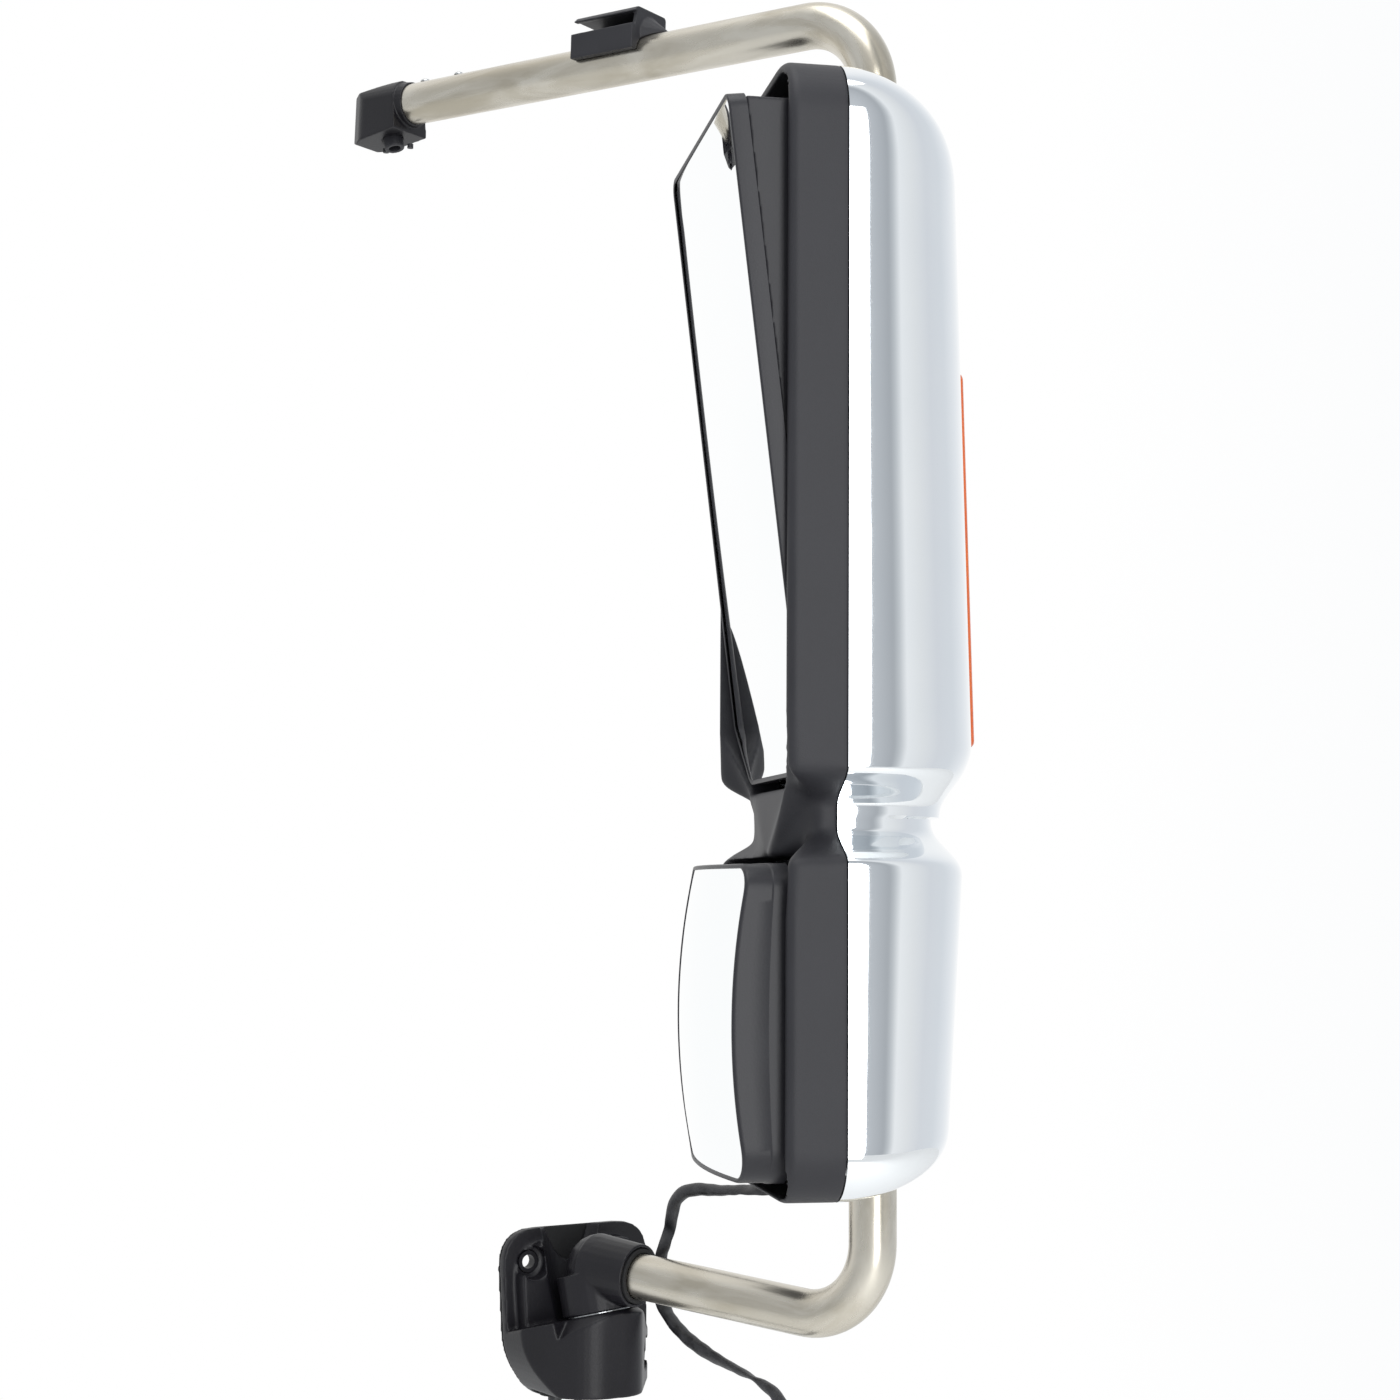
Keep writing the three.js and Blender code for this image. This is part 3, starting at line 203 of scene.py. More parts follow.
for stop, (azimuth, code) in zip(stops, SKY):
    stop.position = azimuth / 360 + 0.5
    stop.color = paint(code)
glow = add(sky, "ShaderNodeBackground", {"Color": shade.outputs["Color"], "Strength": 1.0})
add(sky, "ShaderNodeOutputWorld", {"Surface": glow.outputs["Background"]})
bpy.context.scene.world = world
bpy.context.scene.view_settings.view_transform = "Standard"


AIM = Vector((0.2, 0.05, 0.4))


def soft_box(name, azimuth, elevation, distance, size, power):
    """A soft area light that looks at the middle of the object. Azimuth is from +X towards +Y."""
    data = bpy.data.lights.new(name, "AREA")
    data.shape = "RECTANGLE"
    data.size, data.size_y = size
    data.energy = power
    lamp = bpy.data.objects.new(name, data)
    bpy.context.scene.collection.objects.link(lamp)
    a, e = math.radians(azimuth), math.radians(elevation)
    arm = Vector((math.cos(a) * math.cos(e), math.sin(a) * math.cos(e), math.sin(e)))
    lamp.location = AIM + arm * distance
    lamp.rotation_mode = "QUATERNION"
    lamp.rotation_quaternion = (-arm).to_track_quat("-Z", "Y")


soft_box("key", -15, 4, 2.6, (0.95, 3.0), 42)
soft_box("top", -60, 74, 2.6, (1.8, 1.8), 26)

FLOOR_DROP = 1.1
floor_z = CAD_BOX[0][2] - FLOOR_DROP
bpy.ops.mesh.primitive_circle_add(vertices=96, radius=5, fill_type="NGON", location=(AIM.x, 0, floor_z))
floor = bpy.context.object
floor.name = "studio_floor"
pale = mottled("Matt painted studio floor", 900, 2, [(0, "f4f4f3"), (1, "fbfbfa")], Roughness=0.9)[0]
floor.data.materials.append(pale)
print("floor at", round(floor_z, 3))

# %% [markdown]
# ## Mesh helpers
# Most shapes here are a stack of rings joined by quads: a cord's rings follow its route, a glass holder's
# rings are one outline drawn in by steps. `skin` joins them, `settle` shades a mesh smooth with crisp
# creases, and `stand` gives it its place, its finish and its body.

# %% Mesh helpers
def skin(name, rings, closed_ring=True, cyclic=False, capped=True):
    """A mesh through rings of equal length, joined in order. cyclic also joins the last to the first."""
    count, size = len(rings), len(rings[0])
    vertices = [tuple(point) for ring in rings for point in ring]
    faces = []
    for i in range(count if cyclic else count - 1):
        a, b = i * size, ((i + 1) % count) * size
        for j in range(size if closed_ring else size - 1):
            k = (j + 1) % size
            faces.append((a + j, a + k, b + k, b + j))
    if capped and not cyclic:
        faces.append(tuple(reversed(range(size))))
        faces.append(tuple((count - 1) * size + j for j in range(size)))
    mesh = bpy.data.meshes.new(name)
    mesh.from_pydata(vertices, [], faces)
    return mesh


def settle(mesh, crease=38.0, recalculate=True):
    """Merges doubles, turns the faces outwards, shades smooth and keeps edges past crease degrees sharp."""
    work = bmesh.new()
    work.from_mesh(mesh)
    bmesh.ops.remove_doubles(work, verts=work.verts, dist=1e-6)
    bmesh.ops.dissolve_degenerate(work, dist=1e-7, edges=work.edges)
    if recalculate:
        bmesh.ops.recalc_face_normals(work, faces=work.faces)
        if work.calc_volume(signed=True) < 0:
            bmesh.ops.reverse_faces(work, faces=work.faces)
    for face in work.faces:
        face.smooth = True
    limit = math.radians(crease)
    for edge in work.edges:
        edge.smooth = len(edge.link_faces) == 2 and edge.calc_face_angle(0) < limit
    work.to_mesh(mesh)
    work.free()
    return mesh


def stand(name, mesh, space, material, body, replaced=()):
    """Puts a mesh drawn in millimetres in one of the frames into the scene, riding on a body."""
    mesh.name = name
    mesh.transform(space @ Matrix.Scale(MM, 4))
    piece = bpy.data.objects.new(name, mesh)
    bpy.context.scene.collection.objects.link(piece)
    mesh.materials.clear()
    mesh.materials.append(material)
    if body:
        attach(piece, body)
    if replaced:
        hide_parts(*replaced)
    return piece


def baked(piece):
    """The object's mesh with its modifiers in it, as a new mesh; the modifiers are taken off."""
    depsgraph = bpy.context.evaluated_depsgraph_get()
    mesh = bpy.data.meshes.new_from_object(piece.evaluated_get(depsgraph))
    piece.modifiers.clear()
    return mesh


def scratch(mesh):
    """A temporary object that holds a mesh while modifiers work on it."""
    piece = bpy.data.objects.new("scratch", mesh)
    bpy.context.scene.collection.objects.link(piece)
    return piece


def worked(mesh, *steps):
    """A mesh with modifiers applied to it. Each step is a kind of modifier and its settings."""
    holder = scratch(mesh)
    for kind, settings in steps:
        modifier = holder.modifiers.new(kind.lower(), kind)
        for key, value in settings.items():
            setattr(modifier, key, value)
    result = baked(holder)
    bpy.data.objects.remove(holder)
    return result


def cut(mesh, tools):
    """A mesh less other closed meshes."""
    body = scratch(mesh)
    helpers = []
    for tool in tools:
        helper = scratch(tool)
        helpers.append(helper)
        step = body.modifiers.new("cut", "BOOLEAN")
        step.operation = "DIFFERENCE"
        step.solver = "EXACT"
        step.object = helper
    result = baked(body)
    for piece in [body, *helpers]:
        bpy.data.objects.remove(piece)
    return result


def smooth_route(points, spacing):
    """A Catmull-Rom curve through points, as points about spacing apart."""
    p = np.array([points[0], *points, points[-1]], float)
    out = []
    for i in range(1, len(p) - 2):
        a, b, c, d = p[i - 1:i + 3]
        steps = max(2, int(np.linalg.norm(c - b) / spacing))
        for t in np.linspace(0, 1, steps, endpoint=False):
            out.append(0.5 * (2 * b + (c - a) * t + (2 * a - 5 * b + 4 * c - d) * t * t
                              + (3 * b - a - 3 * c + d) * t ** 3))
    out.append(p[-2])
    return np.array(out)


def along(path):
    """Tangent, side and upper directions at each point of a path, turned as little as possible."""
    tangents = np.gradient(path, axis=0)
    tangents /= np.linalg.norm(tangents, axis=1)[:, None]
    side = np.cross(tangents[0], (0.3, 0.2, 1.0))
    side /= np.linalg.norm(side)
    sides = []
    for tangent in tangents:
        side = side - tangent * np.dot(side, tangent)
        side /= np.linalg.norm(side)
        sides.append(side)
    sides = np.array(sides)
    return tangents, sides, np.cross(tangents, sides)


# %% [markdown]
# ## Wiring
# The harness leaves the head beside the tube, runs above the lower arm in a PVC sleeve that has been
# bent and flattened by folding, drops behind the pivot, hangs in a service loop and climbs into the base.
# A thin ground wire hangs beside it and ends in a ring terminal. Both are free cords, so they come first:
# each is a mesh tube along its own centre line, flattened and kinked a little as it goes.

# %% The routes, as the CAD part has them
# Millimetres, in the loop's frame
HARNESS_UPPER = [
    (-30, 12, 97), (-30.5, 12.5, 93), (-34, 13.5, 90), (-42, 15.5, 88.5), (-56, 18.5, 88),
    (-74, 21, 87.8), (-95, 23, 86.8), (-115, 25, 84.6), (-133, 27, 82.6), (-149, 28, 82), (-160, 28, 79.8),
    (-167, 28, 75), (-170.6, 28, 67.5), (-172.6, 28, 57.5), (-175.8, 28, 48), (-179.2, 28, 39.5),
    (-180.8, 28, 31)]
HARNESS_LOWER = [
    (-181, 28, 30), (-181.2, 28, 20), (-179.8, 28, 10), (-175, 27.5, 2), (-167, 26, -5),
    (-154, 24.5, -13), (-136, 22.5, -20), (-116, 20.5, -25.5), (-97, 18.5, -30.5), (-80, 15, -37),
    (-70, 9, -47), (-68, 0, -60), (-73, -10, -73), (-86, -20, -84), (-104, -28, -92), (-126, -33, -97),
    (-150, -34, -99), (-174, -32, -98), (-196, -27, -95), (-214, -21, -89)]
HARNESS_D = 9
# Millimetres, in the base's frame
BASE_LEAD = Vector((20, -21, 0))
BASE_FLOOR = -48
GROUND_WIRE = [
    (20, -9, -47), (20, -8.6, -51), (20.4, -5, -56), (21, 2, -61.5), (22, 9, -67.5), (23, 14, -75),
    (23.6, 16.5, -84), (23.8, 17, -94), (23.8, 17, -104), (23.8, 17, -114), (23.8, 17, -124),
    (23.8, 17, -134)]
GROUND_D = 3.2

lead_in = LOOP.inverted() @ (BASE_LEAD * MM) / MM
HARNESS_LOWER += [(lead_in.x + dx, lead_in.y + dy, z) for dx, dy, z in
                  ((8, -3, -80), (2, -1, -69), (0, 0, -59), (0, 0, BASE_FLOOR - 3.3))]


def in_metres(points, space):
    return [tuple(space @ (Vector(point) * MM)) for point in points]


# %% A sleeve, flattened and kinked
def flexible(name, points, space, diameter, material, flat=0.0, kink=0.0, seed=1, sides=20):
    """A mesh tube along a route. Returns the piece, its centre line and its length, in metres."""
    path = smooth_route(in_metres(points, space), diameter * MM * 0.16)
    length = float(np.linalg.norm(np.diff(path, axis=0), axis=1).sum())
    run = np.concatenate([[0], np.cumsum(np.linalg.norm(np.diff(path, axis=0), axis=1))])
    draw = np.random.default_rng(seed)
    phase = draw.uniform(0, 2 * math.pi, 6)
    tangents, across, over = along(path)
    radius = diameter * MM / 2
    angles = np.linspace(0, 2 * math.pi, sides, endpoint=False)
    ease = np.clip(np.minimum(run, length - run) / (4 * radius), 0, 1)
    rings, unbent = [], []
    for i, centre in enumerate(path):
        s = run[i] / MM
        turn = 0.5 * math.sin(s / 31 + phase[0]) + 0.35 * math.sin(s / 13 + phase[1])
        pinch = flat * (0.6 + 0.4 * math.sin(s / 17 + phase[2])) * ease[i]
        fold = kink * max(0.0, math.sin(s / 9 + phase[3]) * math.sin(s / 23 + phase[4])) ** 3 * ease[i]
        wrinkle = kink * 0.25 * np.sin(s / 1.9 + 2.5 * np.sin(angles + phase[5])) * ease[i]
        wide = radius * (1 + 0.35 * pinch)
        thin = radius * (1 - 0.75 * pinch - 0.5 * fold)
        u = wide * np.cos(angles)
        v = thin * np.sin(angles)
        swell = 1 + 0.12 * wrinkle
        u, v = ((u * math.cos(turn) - v * math.sin(turn)) * swell,
                (u * math.sin(turn) + v * math.cos(turn)) * swell)
        rings.append(centre + u[:, None] * across[i] + v[:, None] * over[i])
        unbent.extend((run[i], radius * math.cos(a), radius * math.sin(a)) for a in angles)
    mesh = skin(name, rings)
    layer = mesh.attributes.new("unbent", "FLOAT_VECTOR", "POINT")
    for item, straight_place in zip(layer.data, unbent):
        item.vector = straight_place
    settle(mesh)
    mesh.transform(Matrix.Scale(1 / MM, 4))
    piece = stand(name, mesh, BASE, material, None)
    return piece, [tuple(point) for point in path], length


def unbent_place(tree):
    """Where each point would lie if the piece were pulled straight, for patterns that follow it."""
    return add(tree, "ShaderNodeAttribute", attribute_name="unbent").outputs["Vector"]


# %% PVC sleeve and wire insulation
sleeve_pvc, tree, surface, straight, _ = mottled(
    "Extruded PVC harness sleeve, black", 6, 4, [(0.35, "1c1c1f"), (0.75, "3a3a3d")], gloss=(0.34, 0.6),
    unbent=True, Roughness=0.42, IOR=1.53)
crinkle = add(tree, "ShaderNodeTexNoise", noise(straight, 1.6, 3))
bump = add(tree, "ShaderNodeBump", {"Height": crinkle.outputs["Fac"], "Strength": 0.35, "Distance": 0.0006})
fill(surface, {"Normal": bump.outputs["Normal"]})

# %% The three cords
upper_run, upper_path, upper_length = flexible(
    "harness_head_to_pivot", HARNESS_UPPER, LOOP, HARNESS_D, sleeve_pvc, flat=0.6, kink=1.15, seed=5)
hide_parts("harness_upper")
lower_run, lower_path, lower_length = flexible(
    "harness_pivot_to_base", HARNESS_LOWER, LOOP, HARNESS_D, sleeve_pvc, flat=0.55, kink=1.15, seed=8)
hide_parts("harness_lower")
ground_run, ground_path, ground_length = flexible(
    "ground_lead", GROUND_WIRE, BASE, GROUND_D, sleeve_pvc, sides=14)
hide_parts("ground_wire")
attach(ground_run, "base")
print("cord lengths, m:", round(upper_length, 3), round(lower_length, 3), round(ground_length, 3))

# %% [markdown]
# ## Finishes
# Each finish is one real material with one way of making it. The scale of every pattern is a real size in
# millimetres, and comments say where one is drawn coarser than life so that it shows.

# %% Bright chrome plate on moulded ABS
# A mirror with almost no texture of its own; long soft waves are the moulding's sink marks.
chrome, tree, surface, place, _ = mottled(
    "Chrome plate on moulded ABS", 70, 3, [(0, "edf1f4"), (1, "f6f8f9")], Metallic=1.0, Roughness=0.035)
cloud = add(tree, "ShaderNodeTexNoise", noise(place, 25, 4))
film = add(tree, "ShaderNodeMapRange", {"Value": cloud.outputs["Fac"], "To Min": 0.02, "To Max": 0.06})
wave = add(tree, "ShaderNodeTexNoise", noise(place, 130, 1))
bump = add(tree, "ShaderNodeBump", {"Height": wave.outputs["Fac"], "Strength": 0.25, "Distance": 0.0012})
fill(surface, {"Roughness": film.outputs["Result"], "Normal": bump.outputs["Normal"]})

# %% Polished stainless tube
# Belt polishing runs round the tube, handling leaves warm smears along it.
stainless, tree, surface, place = finish_of("Belt-polished stainless tube", Metallic=1.0, Roughness=0.2)
straight = unbent_place(tree)
smear_run = add(tree, "ShaderNodeMapping", {"Vector": straight, "Scale": (0.25, 1, 1)})
smear = add(tree, "ShaderNodeTexNoise", noise(smear_run.outputs["Vector"], 16, 5, Distortion=0.6))
steel = add(tree, "ShaderNodeValToRGB", {"Fac": smear.outputs["Fac"]})
for stop, (position, code) in zip(steel.color_ramp.elements, [(0.34, "b8b1a1"), (0.62, "d3cec2")]):
    stop.position = position
    stop.color = paint(code)
belt = add(tree, "ShaderNodeMapping", {"Vector": straight, "Scale": (1, 0.05, 0.05)})
# Grit lines are 0.05 mm apart on the real tube; 0.5 mm here
lines = add(tree, "ShaderNodeTexNoise", noise(belt.outputs["Vector"], 0.5, 2))
gloss = add(tree, "ShaderNodeMapRange", {"Value": smear.outputs["Fac"], "To Min": 0.2, "To Max": 0.34})
bump = add(tree, "ShaderNodeBump", {"Height": lines.outputs["Fac"], "Strength": 0.06, "Distance": 0.0002})
fill(surface, {"Base Color": steel.outputs["Color"], "Roughness": gloss.outputs["Result"],
               "Normal": bump.outputs["Normal"]})


# %% Black mouldings and castings
BLACK_SPECULAR, BLACK_PATCH_MM = 0.33, 45


def black_finish(name, dark, light, roughness, grain_mm, grain_depth):
    """A black surface with an even grain, and faint patches of tone and gloss."""
    material, tree, surface, place, _ = mottled(
        name, BLACK_PATCH_MM, 4, [(0.3, dark), (0.75, light)], gloss=(roughness - 0.04, roughness + 0.05),
        Roughness=roughness, **{"Specular IOR Level": BLACK_SPECULAR})
    grain = add(tree, "ShaderNodeTexVoronoi", {"Vector": place, "Scale": 1000 / grain_mm})
    soft = add(tree, "ShaderNodeTexNoise", noise(place, grain_mm * 2.5, 3))
    both = add(tree, "ShaderNodeMath", {0: grain.outputs["Distance"], 1: soft.outputs["Fac"]},
               operation="ADD")
    bump = add(tree, "ShaderNodeBump", {
        "Height": both.outputs["Value"], "Strength": 0.5, "Distance": grain_depth * MM})
    fill(surface, {"Normal": bump.outputs["Normal"]})
    return material


# Spark-eroded tool texture: grains 0.4 mm apart on the real part, 0.9 mm here
bezel_abs = black_finish("Spark-textured ABS, black", "26262a", "2c2c30", 0.52, 0.9, 0.10)
holder_pp = black_finish("Moulded polypropylene, black", "232327", "2a2a2e", 0.40, 1.6, 0.05)
# Powder coat levels to a fine orange peel about 1.5 mm across
powder_coat = black_finish("Powder-coated die-cast aluminium, black", "100f13", "17161b", 0.40, 1.5, 0.07)
nylon = black_finish("Glass-filled nylon, black", "202024", "29292d", 0.45, 1.1, 0.06)
rubber = black_finish("Moulded EPDM rubber", "19191a", "212122", 0.72, 1.2, 0.05)
inner_abs = black_finish("Moulded ABS, inner parts", "1b1b1d", "232325", 0.55, 1.2, 0.05)


# %% Glass, amber lens, plated steel and the lamp's parts
def silvered(name, tint, wobble):
    """Silvered glass: a clean mirror under glass, with the faintest wave of the float line."""
    material, tree, surface, _, depth = mottled(
        name, 160, 1, [(0, tint), (1, "fdfefe")], Metallic=1.0, Roughness=0.008)
    bump = add(tree, "ShaderNodeBump", {"Height": depth, "Strength": 0.1, "Distance": wobble * MM})
    fill(surface, {"Normal": bump.outputs["Normal"]})
    return material


flat_silver = silvered("Silvered float glass, flat", "f9fbfc", 0.3)
convex_silver = silvered("Silvered float glass, bent", "f7fafb", 0.2)

amber = mottled("Moulded polycarbonate lens, amber", 30, 2, [(0, "e2550f"), (1, "f4812a")],
                Roughness=0.12, IOR=1.585, **{"Transmission Weight": 0.55})[0]
zinc = mottled("Zinc-plated steel", 3, 4, [(0.3, "9fa2a4"), (0.7, "d0d2d2")], gloss=(0.22, 0.42),
               Metallic=1.0, Roughness=0.3)[0]
emitter = mottled("LED package, phosphor", 1.5, 2, [(0, "f2b63c"), (1, "ffe28a")], Roughness=0.4)[0]

heater, tree, surface, place = finish_of("Screen-printed heater film", Roughness=0.5)
traces = add(tree, "ShaderNodeTexWave", {"Vector": place, "Scale": 60.0, "Distortion": 1.5},
             bands_direction="Z")
tone = add(tree, "ShaderNodeValToRGB", {"Fac": traces.outputs["Fac"]})
for stop, (position, code) in zip(tone.color_ramp.elements, [(0.45, "6a4826"), (0.55, "b98a55")]):
    stop.position = position
    stop.color = paint(code)
fill(surface, {"Base Color": tone.outputs["Color"]})

board, tree, surface, place = finish_of("Glass-epoxy board, green mask", Roughness=0.35)
weave = add(tree, "ShaderNodeTexChecker", {
    "Vector": place, "Scale": 1200.0, "Color1": paint("1d5a35"), "Color2": paint("23663d")})
fill(surface, {"Base Color": weave.outputs["Color"]})

NODE_FINISH = {
    powder_coat: ["base_housing", "arm_socket", "end_fitting", "bolt_bush_1", "bolt_bush_2", "bolt_bush_3"],
    rubber: ["door_gasket", "socket_sleeve", "base_grommet"],
    zinc: ["detent_plate", "detent_spring", "spring_washer",
           "ring_terminal", "socket_grub_screw", "fold_pin", "fold_nut", "fitting_screw_1",
           "fitting_screw_2", "upper_clamp_saddle", "upper_clamp_cap", "lower_clamp_saddle",
           "lower_clamp_cap", "upper_clamp_bolt_1", "upper_clamp_bolt_2", "lower_clamp_bolt_1",
           "lower_clamp_bolt_2"],
    stainless: ["loop_tube"],
    bezel_abs: ["bezel"],
    inner_abs: ["carrier_plate", "flat_motor_case", "convex_motor_case", "flat_gimbal_ring",
                "convex_gimbal_ring"],
    holder_pp: ["flat_holder", "flat_backing", "convex_holder"],
    nylon: ["pivot_bushing", "fitting_stud_1", "fitting_stud_2", "arm_clip", "flat_tilt_screw",
            "flat_pan_screw", "convex_tilt_screw", "convex_pan_screw"],
    chrome: ["chrome_shell"],
    flat_silver: ["flat_glass"],
    convex_silver: ["convex_glass"],
    amber: ["marker_lens"],
    heater: ["flat_heater", "convex_heater"],
    board: ["marker_lamp_board"],
    emitter: ["marker_led_1", "marker_led_2", "marker_led_3"],
    sleeve_pvc: ["harness_upper", "harness_lower", "ground_wire"],
}
for material, names in NODE_FINISH.items():
    for node in names:
        mesh = frame["nodes"][node].data
        mesh.materials.clear()
        mesh.materials.append(material)
print("finishes:", len(NODE_FINISH), "nodes:", sum(len(names) for names in NODE_FINISH.values()))

# %% [markdown]
# ## Shape of the head
# Seen from behind, the head is a tall rounded box pinched at a waist between the two glasses. Two rules
# give it: how wide it is at a height, and how far the chrome stands behind the parting line there.
# A superellipse joins them, so the back is flat across with round shoulders. A loft by rule is a finer
# shell than any primitive, and the highlights on the chrome stay smooth.

# %% The rules of the head's outline, in millimetres
HEAD_HALF_W, HEAD_BOTTOM, HEAD_TOP = 104.0, 98.0, 753.0
WAIST_Z, WAIST_FLAT, WAIST_FLANK = 315.0, 6.0, 22.0
WAIST_PINCH, WAIST_SINK, BACK_SINK = 27.0, 21.0, 18.0
FLANK_BELOW, FLANK_ABOVE = 34.0, 44.0
PARTING, LIP, LIP_R = -40.6, -75.5, 6.0
CORNER_TOP, CORNER_BOTTOM = 38.0, 32.0
SHOULDER_TOP, SHOULDER_BOTTOM = 65.0, 40.0
SHELL_T, BEZEL_WALL = 2.5, 6.5
BACK_POWER, SHOULDER_POWER = 2.7, 2.3


def waist(z):
    t = max(0.0, abs(z - WAIST_Z) - WAIST_FLAT) / WAIST_FLANK
    return 0.0 if t >= 1 else (1 + math.cos(math.pi * t)) / 2


def back_waist(z):
    flank = FLANK_ABOVE if z > WAIST_Z else FLANK_BELOW
    return (1 + math.cos(math.pi * min(1.0, abs(z - WAIST_Z) / flank))) / 2


def half_width(z, inset=0.0):
    def round_end(past, radius):
        return radius - math.sqrt(max(0.0, radius * radius - past * past))
    wide = HEAD_HALF_W - WAIST_PINCH * waist(z) - inset
    over_top = max(0.0, z - (HEAD_TOP - CORNER_TOP))
    over_bottom = max(0.0, HEAD_BOTTOM + CORNER_BOTTOM - z)
    return (wide - round_end(min(over_top, CORNER_TOP - inset), CORNER_TOP - inset)
            - round_end(min(over_bottom, CORNER_BOTTOM - inset), CORNER_BOTTOM - inset))


def back_depth(z):
    def ease(past, reach):
        return (1 - min(1.0, max(0.0, past / reach)) ** SHOULDER_POWER) ** (1 / SHOULDER_POWER)
    crown = 50.5 - 0.03 * (z - 388) if z > WAIST_Z else 44.5 - 0.06 * (268 - z)
    full = crown - PARTING - BACK_SINK * back_waist(z)
    return (full * ease(z - (HEAD_TOP - SHOULDER_TOP), SHOULDER_TOP)
            * ease(HEAD_BOTTOM + SHOULDER_BOTTOM - z, SHOULDER_BOTTOM))


def heights(bottom, top):
    """Heights for the loft: close together where the outline turns."""
    ends = [1 - math.cos(math.pi / 2 * k / 26) for k in range(27)]
    levels = [bottom + SHOULDER_BOTTOM * e for e in ends] + [top - SHOULDER_TOP * e for e in ends]
    levels += list(np.arange(WAIST_Z - FLANK_BELOW - 4, WAIST_Z + FLANK_ABOVE + 4, 1.4))
    levels += list(np.arange(bottom + SHOULDER_BOTTOM + 5, top - SHOULDER_TOP, 7.0))
    kept = []
    for z in sorted(levels):
        if not kept or z - kept[-1] > 0.12:
            kept.append(z)
    kept[-1] = top
    return kept


def even(points, count):
    """The same line through count points evenly spaced along it."""
    points = np.array(points)
    run = np.concatenate([[0], np.cumsum(np.linalg.norm(np.diff(points, axis=0), axis=1))])
    steps = np.linspace(0, run[-1], count)
    return np.stack([np.interp(steps, run, points[:, k]) for k in range(points.shape[1])], axis=1)


def rounded(corners, inset=0.0, steps=10):
    """A closed outline in (y, z) with rounded corners, drawn in by inset. Corners are (y, z, radius)."""
    count = len(corners)
    area = sum(corners[i][0] * corners[(i + 1) % count][1] - corners[(i + 1) % count][0] * corners[i][1]
               for i in range(count))
    if area < 0:
        corners = corners[::-1]
    points = [Vector(corner[:2]) for corner in corners]
    moved = []
    for i in range(count):
        before = (points[i] - points[i - 1]).normalized()
        after = (points[(i + 1) % count] - points[i]).normalized()
        inward = Vector((-before.y, before.x)) + Vector((-after.y, after.x))
        moved.append(points[i] + inward * (inset / (1 + before.dot(after))))
    out = []
    for i in range(count):
        before = (moved[i] - moved[i - 1]).normalized()
        after = (moved[(i + 1) % count] - moved[i]).normalized()
        bend = math.acos(max(-1.0, min(1.0, before.dot(after))))
        convex = before.x * after.y - before.y * after.x > 0
        radius = max(0.3, corners[i][2] - inset if convex else corners[i][2] + inset)
        back = radius * math.tan(bend / 2)
        normal = Vector((-before.y, before.x)) * (1 if convex else -1)
        centre = moved[i] - before * back + normal * radius
        for k in range(steps + 1):
            angle = bend * k / steps * (1 if convex else -1)
            spoke = -normal * radius
            out.append((centre.x + spoke.x * math.cos(angle) - spoke.y * math.sin(angle),
                        centre.y + spoke.x * math.sin(angle) + spoke.y * math.cos(angle)))
    return out


def at_depth(outline, depth):
    """Outline points (y, z) as 3D points at a depth, or at a depth each point's place decides."""
    return [(depth(y, z) if callable(depth) else depth, y, z) for y, z in outline]


def block_of(outline, x0, x1):
    """A closed prism through an outline, from depth x0 to x1."""
    return settle(skin("tool", [at_depth(outline, x0), at_depth(outline, x1)]))


def post_of(radius, z0, z1, x=0.0, y=0.0, sides=48):
    ring = [(x + radius * math.cos(2 * math.pi * k / sides), y + radius * math.sin(2 * math.pi * k / sides))
            for k in range(sides)]
    return settle(skin("tool", [[(a, b, z) for a, b in ring] for z in (z0, z1)]))


print("head rules: widest", 2 * half_width(500), "mm, waist", 2 * half_width(WAIST_Z), "mm")

# %% [markdown]
# ## Chrome back
# One surface, given a wall of 2.5 mm, with holes for the tube, the harness and the marker lamp.

# %% Chrome shell
LENS_LOW, LENS_HIGH, LENS_HALF_W = 359.0, 590.0, 11.0
TUBE_R = 14.3


def dome_rows(count):
    rows = []
    for z in heights(HEAD_BOTTOM + 0.05, HEAD_TOP - 0.05):
        wide, deep = half_width(z), back_depth(z)
        arc = []
        for angle in np.linspace(0, math.pi, 600):
            c, s = math.cos(angle), math.sin(angle)
            arc.append((PARTING + deep * max(0.0, s) ** (2 / BACK_POWER),
                        -wide * math.copysign(abs(c) ** (2 / BACK_POWER), c), z))
        rows.append(even(arc, count))
    return rows


lens_outline = [(-LENS_HALF_W, LENS_LOW, 6), (LENS_HALF_W, LENS_LOW, 6), (LENS_HALF_W, LENS_HIGH, 6),
                (-LENS_HALF_W, LENS_HIGH, 6)]
dome = settle(skin("dome", dome_rows(97), closed_ring=False, capped=False), recalculate=True)
thick = worked(dome, ("SOLIDIFY", {"thickness": SHELL_T, "offset": -1, "use_even_offset": True}))
pierced = cut(thick, [
    post_of(TUBE_R + 1.5, HEAD_BOTTOM - 20, HEAD_TOP + 20),
    block_of(rounded(lens_outline), 20, 90),
    post_of(8, HEAD_BOTTOM - 5, HEAD_BOTTOM + 20, -12, 30)])
chrome_back = stand("chrome_back", settle(pierced, crease=42, recalculate=False), HEAD, chrome, "head",
                    ["chrome_shell"])
print("chrome back:", len(chrome_back.data.polygons), "faces")

# %% [markdown]
# ## Bezel
# The bezel is a deep black frame round both glasses: a plain wall, a rounded lip, and two openings cut
# through it with a bar across the waist. Its wall is lofted through outlines that draw in round the lip.

